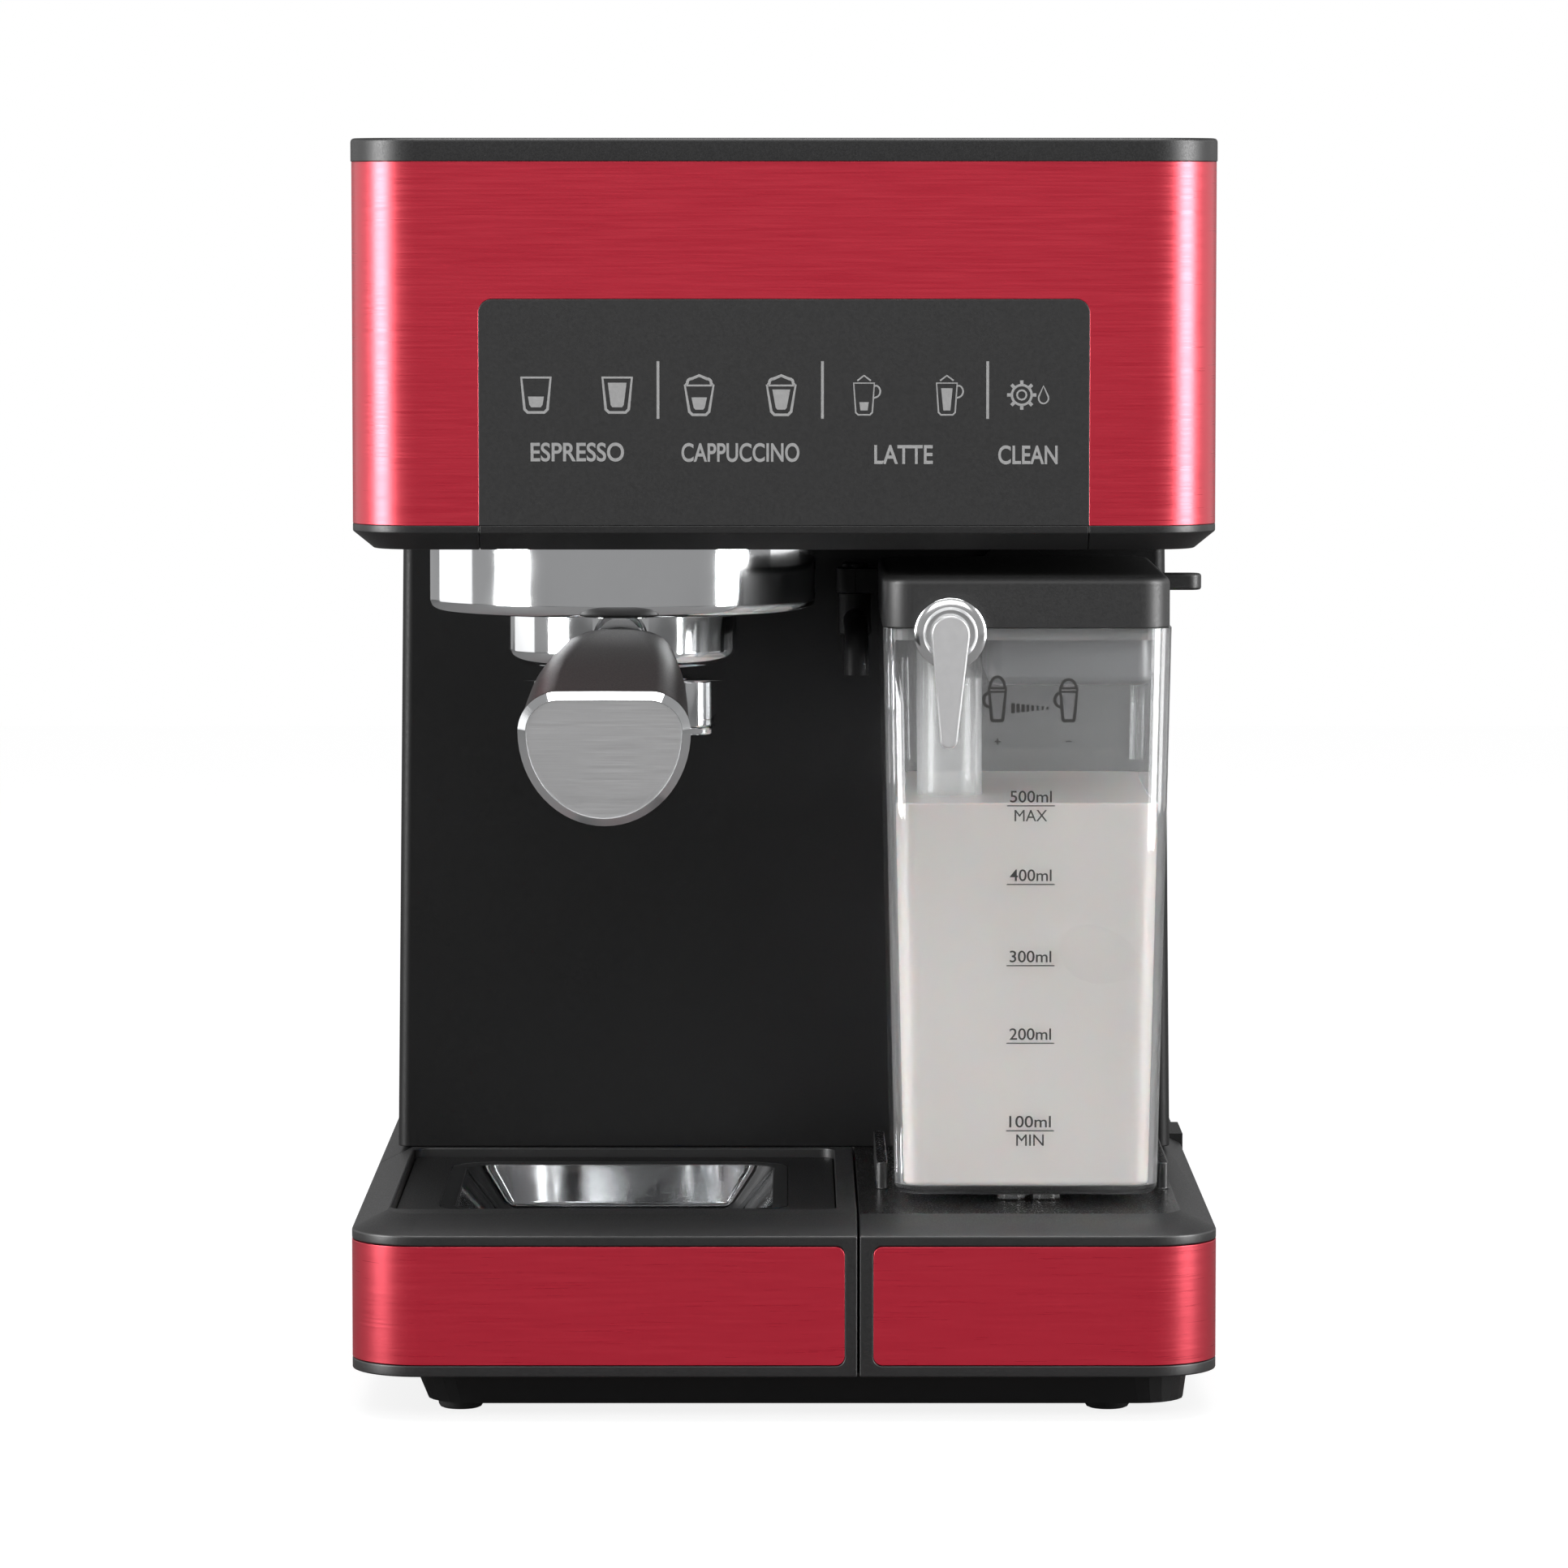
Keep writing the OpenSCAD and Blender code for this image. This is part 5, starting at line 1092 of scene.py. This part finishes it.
milk_finish = finish(
    "milk", (0.42, 0.397, 0.378), 0.3,
    Subsurface_Weight=0.35, Subsurface_Scale=0.004, Specular_IOR_Level=0.25)
grain(milk_finish, (12, 12, 12), rough=(0.27, 0.34), tint=0.01, detail=1)
MILK_GAP = 0.06
wall_in = CLEAR_WALL + MILK_GAP
rise = (MILK_TOP - JUG_FLOOR) / (jug_high.z - JUG_FLOOR)
milk_lean = JUG_LEAN * rise
milk_in_x = JUG_LEAN - milk_lean + wall_in
milk_in_y = JUG_LEAN_Y * (1 - rise) + wall_in
milk = tapered(
    (jug_low.x + milk_in_x, jug_low.y + milk_in_y, JUG_FLOOR + wall_in),
    (jug_high.x - milk_in_x, jug_high.y - milk_in_y, MILK_TOP),
    JUG_R - wall_in, JUG_R - wall_in, milk_lean, JUG_LEAN_Y * rise)
round_edges(milk, edges_facing(milk, z=-1), 1.2, 3)
TUBE_R = 8.5
tube_at = centre("intake_tube")
milk = carve(milk, drum(tube_at.x, tube_at.y, TUBE_R + MILK_GAP, tube_low.z - MILK_GAP, FAR, steps=48))
piece("milk_fill", milk, milk_finish, "milk_tank", soften=0.4, stands=False)

scale_ink = finish("scale_ink", (0.035, 0.034, 0.033), 0.55)
grain(scale_ink, (900, 900, 900), rough=(0.5, 0.62), tint=0.05)
SCALE_X = 62.8
MARK_HALF = 6.1
scale = bmesh.new()
SCALE_MARKS = ((154.4, "500ml"), (134.3, "400ml"), (113.5, "300ml"), (93.6, "200ml"), (71.1, "100ml"))
for z, words in SCALE_MARKS:
    join(scale, stroke([(SCALE_X - MARK_HALF, z), (SCALE_X + MARK_HALF, z)], width=0.28),
         lettering(words, SCALE_X, z + 2.35, 3, 10.6, bold=0.006))
join(scale, lettering("MAX", SCALE_X, 151.9, 2.9, 8.3), lettering("MIN", SCALE_X, 68.7, 2.9, 7))


def froth_mug(x, foam):
    """A tall glass with a handle and more or less foam on top."""
    glass = [(-2.4, 4.2), (2.4, 4.2), (1.6, -4.6), (1.2, -5), (-1.2, -5), (-1.6, -4.6)]
    ear = [(-2.3, 3)] + arch(-2.4, 0.9, 1.5, 1.9, 110, 250, 8) + [(-1.9, -1.2)]
    froth = arch(0, 4.3, 2.1, foam, 0, 180, 8)
    line = [(-2.3, 3.2), (2.3, 3.2)]
    return moved(join(
        stroke(glass, width=1, closed=True), stroke(ear, width=0.9), stroke(froth, width=0.8),
        stroke(line, width=0.6)), x, 180.6, 0.9)


join(scale, froth_mug(54.2, 3.2), froth_mug(72.3, 2.4))
for i in range(8):
    x = 58.2 + 1.25 * i
    tall = 1.25 - 0.13 * i
    join(scale, stroke([(x, 179.3 - tall), (x, 179.3 + tall)], width=max(0.9 - 0.07 * i, 0.4)))
SIGN_Z = 170.8
for line in ([(53.5, SIGN_Z), (55.1, SIGN_Z)], [(54.3, SIGN_Z - 0.8), (54.3, SIGN_Z + 0.8)],
             [(71.6, SIGN_Z), (73, SIGN_Z)]):
    join(scale, stroke(line, width=0.3))
# The jug's front leans, so the print leans with it
front_slope = JUG_LEAN_Y / (jug_high.z - JUG_FLOOR)
for v in scale.verts:
    v.co.y += jug_low.y - INK / 2 + (jug_high.z - v.co.z) * front_slope
piece("scale_print", scale, scale_ink, "milk_tank", stands=False).visible_shadow = False

# ---- Milk lid, froth chamber and intake tube ----
# The satin black lid snaps on the jug with a soft seal. The steam draws milk up a clear tube into the
# grey chamber under the lid, and the froth leaves through the spout at the lid's left.
lid_finish = finish("lid_moulding", (0.03, 0.03, 0.0305), 0.46, Specular_IOR_Level=0.45)
grain(lid_finish, (2300, 2300, 2300), rough=(0.4, 0.54), bump=0.000012, tint=0.05)
pivot_low, pivot_high = cad("milk_spout")
thumb_low, thumb_high = cad("spout_lever")
LID_RIGHT = jug_high.x - 0.5
lid_z0 = jug_high.z + 0.2
lid_shape = ((jug_low.x - 0.1, lid_low.y, lid_z0), (LID_RIGHT, lid_high.y, lid_high.z))
pivot_x, pivot_y = pivot_low.x + 4.4, pivot_high.y - 4.4
thumb_x, thumb_y = thumb_low.x + 7, (thumb_low.y + thumb_high.y) / 2
PIVOT_ARM_Z = (203.4, 210)
PIVOT_ARM_R = 5
lid = slab(*lid_shape, 8, 6, steps=10)
round_edges(lid, edges_facing(lid, z=1), 2, 6)
lid = carve(lid, slab(
    (jug_low.x + CLEAR_WALL, jug_low.y + CLEAR_WALL, lid_z0 - 1),
    (LID_RIGHT - CLEAR_WALL, jug_high.y - CLEAR_WALL, lid_high.z - 2.2), 5, 4, steps=6))
lid = weld(
    lid,
    slab((pivot_x, pivot_y - PIVOT_ARM_R, PIVOT_ARM_Z[0]),
         (jug_low.x + 1, pivot_y + PIVOT_ARM_R, PIVOT_ARM_Z[1])),
    drum(pivot_x, pivot_y, PIVOT_ARM_R, *PIVOT_ARM_Z, steps=40),
    bar("y", (knob_x, knob_z), 6.6, lid_low.y, lid_low.y + 22.4),
    bar("y", socket_axis, 5.3, lid_high.y - 14, lid_high.y - 1),
    drum(thumb_x, thumb_y, 2.95, lid_z0 + 1, lid_high.z - 1, steps=32))
lid = carve(
    lid, bar("y", (knob_x, knob_z), 3.7, lid_low.y - 2, lid_low.y + 13),
    drum(pivot_x, pivot_y, 2.1, 200, 215, steps=24),
    slab((LID_RIGHT - 4, thumb_y - 25, thumb_low.z - 0.4),
         (LID_RIGHT + 2, thumb_y + 5, thumb_high.z + 0.4)),
    bar("y", socket_axis, 3.1, lid_high.y - 10, lid_high.y + 2))
# The spout's arm stands in the shade of the head and gets the column's darker finish as painted shade
for f in lid.faces:
    f.material_index = 1 if f.calc_center_median().x < jug_low.x - 0.5 else 0
piece("lid_moulding", lid, (lid_finish, column_finish), "milk_lid", soften=0.25)

chamber_finish = finish("chamber_moulding", (0.09, 0.091, 0.092), 0.4)
grain(chamber_finish, (2000, 2000, 2000), rough=(0.34, 0.46), bump=0.00001, tint=0.05)
CHAMBER_WALL = 2
chamber = slab(chamber_low, chamber_high, 4, 4, steps=8)
round_edges(chamber, edges_facing(chamber, z=-1), 2.5, 5)
chamber_in = Vector((CHAMBER_WALL, CHAMBER_WALL, CHAMBER_WALL))
chamber = carve(chamber, slab(
    chamber_low + chamber_in, chamber_high + chamber_in * Vector((-1, -1, 1)), 3, 3, steps=6))
piece("chamber_moulding", chamber, chamber_finish, "froth_chamber", soften=0.2)

clear_tube = clear_finish("clear_tube", (0.86, 0.86, 0.855), 0.06, weight=0.8, ior=1.33)
grain(clear_tube, (300, 300, 40), rough=(0.05, 0.12), bump=0.00001, detail=2)
TUBE_BORE = 7
tube = lathe([
    (TUBE_BORE, tube_low.z), (TUBE_R - 0.4, tube_low.z), (TUBE_R, tube_low.z + 0.4), (TUBE_R, tube_high.z),
    (0.01, tube_high.z), (0.01, tube_high.z - 3), (TUBE_BORE, tube_high.z - 3)],
    tube_at.x, tube_at.y, steps=64)
tube = carve(tube, slab(
    (tube_at.x - 3, tube_at.y - 12, tube_low.z - 2), (tube_at.x + 3, tube_at.y + 12, tube_low.z + 5),
    0, 2.5, along="y", steps=5))
piece("draw_tube", tube, clear_tube, "intake_tube", crease=40)

# ---- Froth lever ----
# A chromed, cast knob on a stem through the lid, with a flat pointer that tapers down from its middle;
# turning it meters the air, so it sets how much foam is made.
KNOB_BACK = knob_low.y + 3
STEM_END = -11.6
knob = turned_bar([(r, out - jug_low.y) for r, out in (
    (0.01, STEM_END), (3.55, STEM_END), (3.55, 0.7), (KNOB_R - 0.8, 0.7), (KNOB_R - 0.2, 1), (KNOB_R, 1.6),
    (KNOB_R - 0.1, 2.3), (KNOB_R - 0.9, 2.9), (KNOB_R - 2.3, 3), (KNOB_R - 2.8, 2.7), (KNOB_R - 3.2, 2.6),
    (0.01, 2.6))], knob_x, knob_z)
pointer = join(
    bar("y", (knob_x, knob_z), 4.9, knob_low.y, KNOB_BACK, steps=48),
    bar("y", (knob_x - 0.4, knob_low.z + 2.2), 2.2, knob_low.y, KNOB_BACK - 1, steps=32))
bmesh.ops.delete(pointer, geom=pointer.edges[:] + pointer.faces[:], context="EDGES_FACES")
bmesh.ops.convex_hull(pointer, input=pointer.verts[:], use_existing_faces=False)
bmesh.ops.dissolve_limit(pointer, angle_limit=radians(1), verts=pointer.verts[:], edges=pointer.edges[:])
bmesh.ops.recalc_face_normals(pointer, faces=pointer.faces[:])
round_edges(pointer, edges_facing(pointer, y=-1), 0.6, 4)
polished_knob = finish("polished_casting", (0.84, 0.845, 0.85), 0.14, metal=1.0)
grain(polished_knob, (160, 160, 160), rough=(0.1, 0.18), tint=0.02, detail=4)
satin_silver = finish("satin_silver", (0.9, 0.9, 0.905), 0.34, metal=0.15)
grain(satin_silver, (500, 500, 500), rough=(0.3, 0.4), tint=0.015, detail=3)
for f in pointer.faces:
    f.material_index = 1
piece("knob_and_pointer", join(knob, pointer), (polished_knob, satin_silver), "froth_lever", crease=35)

# ---- Spout lever and milk spout ----
# A black thumb lever at the lid's right swings the milk spout out over the cup from the lid's left; the
# spout is one bent tube with a turned pivot and a retaining cap.
thumb = weld(
    drum(thumb_x, thumb_y, 7, thumb_low.z, thumb_high.z, steps=48),
    slab((thumb_x, thumb_y - 4, thumb_low.z), (thumb_high.x, thumb_y + 4, thumb_high.z), 3.4, 3.4, steps=8))
thumb = carve(thumb, drum(thumb_x, thumb_y, 3, 200, 215, steps=32))
piece("thumb_lever", thumb, lid_finish, "spout_lever", soften=0.7, steps=3)

SPOUT_Z = 196
SPOUT_R = 3.2
BEND_R = 6
spout_tip = pivot_low.y + SPOUT_R
route = ([(pivot_y - 1, SPOUT_Z)]
         + arch(spout_tip + BEND_R, SPOUT_Z - BEND_R, BEND_R, BEND_R, 90, 180, 8)
         + [(spout_tip, pivot_low.z)])
bent = bpy.data.curves.new("bent", "CURVE")
bent.dimensions = "3D"
bent.bevel_depth = SPOUT_R
bent.bevel_resolution = 6
bent.use_fill_caps = True
spline(bent, route, False)
bent_tube = flat_mesh(bent, 1)
bmesh.ops.rotate(bent_tube, cent=(0, 0, 0), matrix=Matrix.Rotation(pi / 2, 3, "Z"), verts=bent_tube.verts[:])
bmesh.ops.translate(bent_tube, vec=(pivot_x, 0, 0), verts=bent_tube.verts[:])
bmesh.ops.recalc_face_normals(bent_tube, faces=bent_tube.faces[:])
bent_tube = carve(bent_tube, drum(pivot_x, spout_tip, 2, pivot_low.z - 1, pivot_low.z + 4, steps=24))
pivot = lathe([
    (0.01, 192), (3.9, 192), (4.4, 192.5), (4.4, 203.1), (2, 203.1), (2, 210.3), (3.4, 210.3), (3.4, 211),
    (2.9, pivot_high.z), (0.01, pivot_high.z)], pivot_x, pivot_y, steps=40)
# The spout tube gets the column's darker finish as painted shade, since it stands in the head's shadow
piece("froth_tube", join(bent_tube, pivot), column_finish, "milk_spout", crease=35)

# ---- Water tank ----
# A smoke-tinted clear tank that stands behind the machine and lifts straight off its valve seat. Two ears
# in its back corners carry the pins that the lid hinges on.
water_low, water_high = cad("water_tank")
tank_lid_low, tank_lid_high = cad("water_tank_lid")
EAR_X = 94.5
EAR_HALF = 2.5
VALVE_HOLE_R = 9.05
EAR_R = 2.8
PIN_HOLE_R = 1.28
pin = centre("lid_pins")
pin_line = (pin.y, pin.z)
smoke_tank = clear_finish("smoke_tank", (0.33, 0.34, 0.35), 0.02, ior=1.42)
grain(smoke_tank, (40, 40, 10), rough=(0.01, 0.05), bump=0.00003, detail=2)
tank_top = pin.z - 5
tank = open_vessel(slab(water_low, (water_high.x, water_high.y, tank_top), 4, 16, steps=12), 2)
for side in (-EAR_X, EAR_X):
    tank = weld(
        tank,
        slab((side - EAR_HALF, pin.y - EAR_R, tank_top - 20), (side + EAR_HALF, pin.y + EAR_R, pin.z)),
        bar("x", pin_line, EAR_R, side - EAR_HALF, side + EAR_HALF, steps=40))
tank = carve(
    tank, drum(0, seat.y, VALVE_HOLE_R, 40, 60, steps=48),
    bar("x", pin_line, PIN_HOLE_R, -120, 120, steps=24))
piece("smoke_tank", tank, smoke_tank, "water_tank", crease=35)

SCOOP_R = 14
TONGUE = 80
tank_lid = slab((tank_lid_low.x, tank_lid_low.y, wrap_high.z), tank_lid_high, 0, CORNER_R, steps=16)
round_edges(tank_lid, [
    e for e in edges_facing(tank_lid, z=1)
    if min(e.verts[0].co.y, e.verts[1].co.y) > tank_lid_low.y + 1
    or abs(e.verts[0].co.y - e.verts[1].co.y) > 5], 1, 4)
scoop = bmesh.new()
bmesh.ops.create_uvsphere(
    scoop, u_segments=64, v_segments=32, radius=SCOOP_R,
    matrix=Matrix.Translation((0, tank_lid_low.y, tank_lid_high.z + 8)))
tank_lid = carve(tank_lid, scoop)
for side in (-EAR_X, EAR_X):
    tank_lid = carve(tank_lid, slab(
        (side - EAR_HALF - 0.4, pin.y - 4.5, wrap_high.z - 2),
        (side + EAR_HALF + 0.4, tank_lid_high.y + 2, tank_lid_high.z + 2)))
tongue_y = water_low.y + CLEAR_WALL + 0.5
tank_lid = weld(tank_lid, slab(
    (-TONGUE, tongue_y, tank_lid_low.z), (TONGUE, tongue_y + 2, wrap_high.z + 1), 0.8, 0.8, steps=4))
tank_lid = carve(tank_lid, bar("x", pin_line, PIN_HOLE_R + 0.04, -EAR_X - 10, EAR_X + 10, steps=24))
piece("tank_lid_moulding", tank_lid, cover_finish, "water_tank_lid", soften=0.2)

# ---- Feet and underside ----
# Four moulded rubber feet, each with a stem that is pushed into a hole in the plastic pan that closes
# the underside.
rubber_finish = finish("foot_rubber", (0.012, 0.012, 0.012), 0.75)
grain(rubber_finish, (1800, 1800, 1800), rough=(0.68, 0.85), bump=0.00002, tint=0.08)
feet_low, feet_high = cad("rubber_feet")
FOOT_R = 6
FOOT_H = 3.1
STEM_R = 2.5
feet = bmesh.new()
for x in (feet_low.x + FOOT_R, feet_high.x - FOOT_R):
    for y in (feet_low.y + FOOT_R, feet_high.y - FOOT_R):
        join(feet, lathe([
            (0.01, feet_low.z), (FOOT_R - 1.4, feet_low.z), (FOOT_R - 0.7, feet_low.z + 0.3),
            (FOOT_R - 0.3, feet_low.z + 1), (FOOT_R, FOOT_H - 0.3), (FOOT_R - 0.2, FOOT_H), (STEM_R, FOOT_H),
            (STEM_R, feet_high.z - 1), (0.01, feet_high.z)], x, y, steps=48))
piece("pushed_in_feet", feet, rubber_finish, "rubber_feet", crease=35)

# ---- Parts carried over from the CAD ----
# The hidden works and the plain mouldings and fasteners keep their CAD shapes, and each gets its finish:
# turned steel and brass, cast aluminium, soft silicone, green boards and white hoses.
steel_finish = finish("turned_steel", (0.56, 0.57, 0.58), 0.3, metal=1.0, Anisotropic=0.3)
grain(steel_finish, (800, 800, 800), rough=(0.22, 0.38), tint=0.04)
cast_finish = finish("cast_aluminium", (0.5, 0.5, 0.51), 0.5, metal=1.0)
grain(cast_finish, (700, 700, 700), rough=(0.42, 0.62), bump=0.00004, tint=0.06)
silicone_finish = finish(
    "soft_silicone", (0.09, 0.09, 0.088), 0.5, Subsurface_Weight=0.2, Subsurface_Scale=0.002)
grain(silicone_finish, (500, 500, 500), rough=(0.5, 0.62), tint=0.03)
board_finish = finish("solder_mask", (0.012, 0.09, 0.045), 0.35)
grain(board_finish, (260, 260, 260), rough=(0.28, 0.42), tint=0.12)
brass_finish = finish("turned_brass", (0.62, 0.43, 0.16), 0.3, metal=1.0)
grain(brass_finish, (700, 700, 700), rough=(0.24, 0.38), tint=0.05)
white_finish = finish("white_moulding", (0.68, 0.68, 0.66), 0.45)
grain(white_finish, (1200, 1200, 1200), rough=(0.4, 0.52), tint=0.03)
valve_finish = finish("grey_moulding", (0.13, 0.131, 0.133), 0.42)
grain(valve_finish, (1800, 1800, 1800), rough=(0.36, 0.5), tint=0.05)
finish_of_slot = {
    "black_plastic": black_moulding, "dark_plastic": dark_moulding, "panel_black": cover_finish,
    "red_metal": red_brushed, "chrome": chrome_plate, "steel": steel_finish, "brushed_steel": cap_plate,
    "clear": clear_jug, "smoke": smoke_tank, "grey_plastic": valve_finish, "rubber": rubber_finish,
    "silicone": silicone_finish, "aluminium": cast_finish, "board": board_finish, "brass": brass_finish,
    "white_plastic": white_finish}
for node, obj in frame["nodes"].items():
    for part in obj if isinstance(obj, (list, tuple)) else (obj,):
        for slot in part.material_slots:
            # The steam socket gets the column's darker finish as painted shade, since it stands in the head's
            # shadow
            slot.material = column_finish if node == "steam_socket" else finish_of_slot[slot_of[node]]
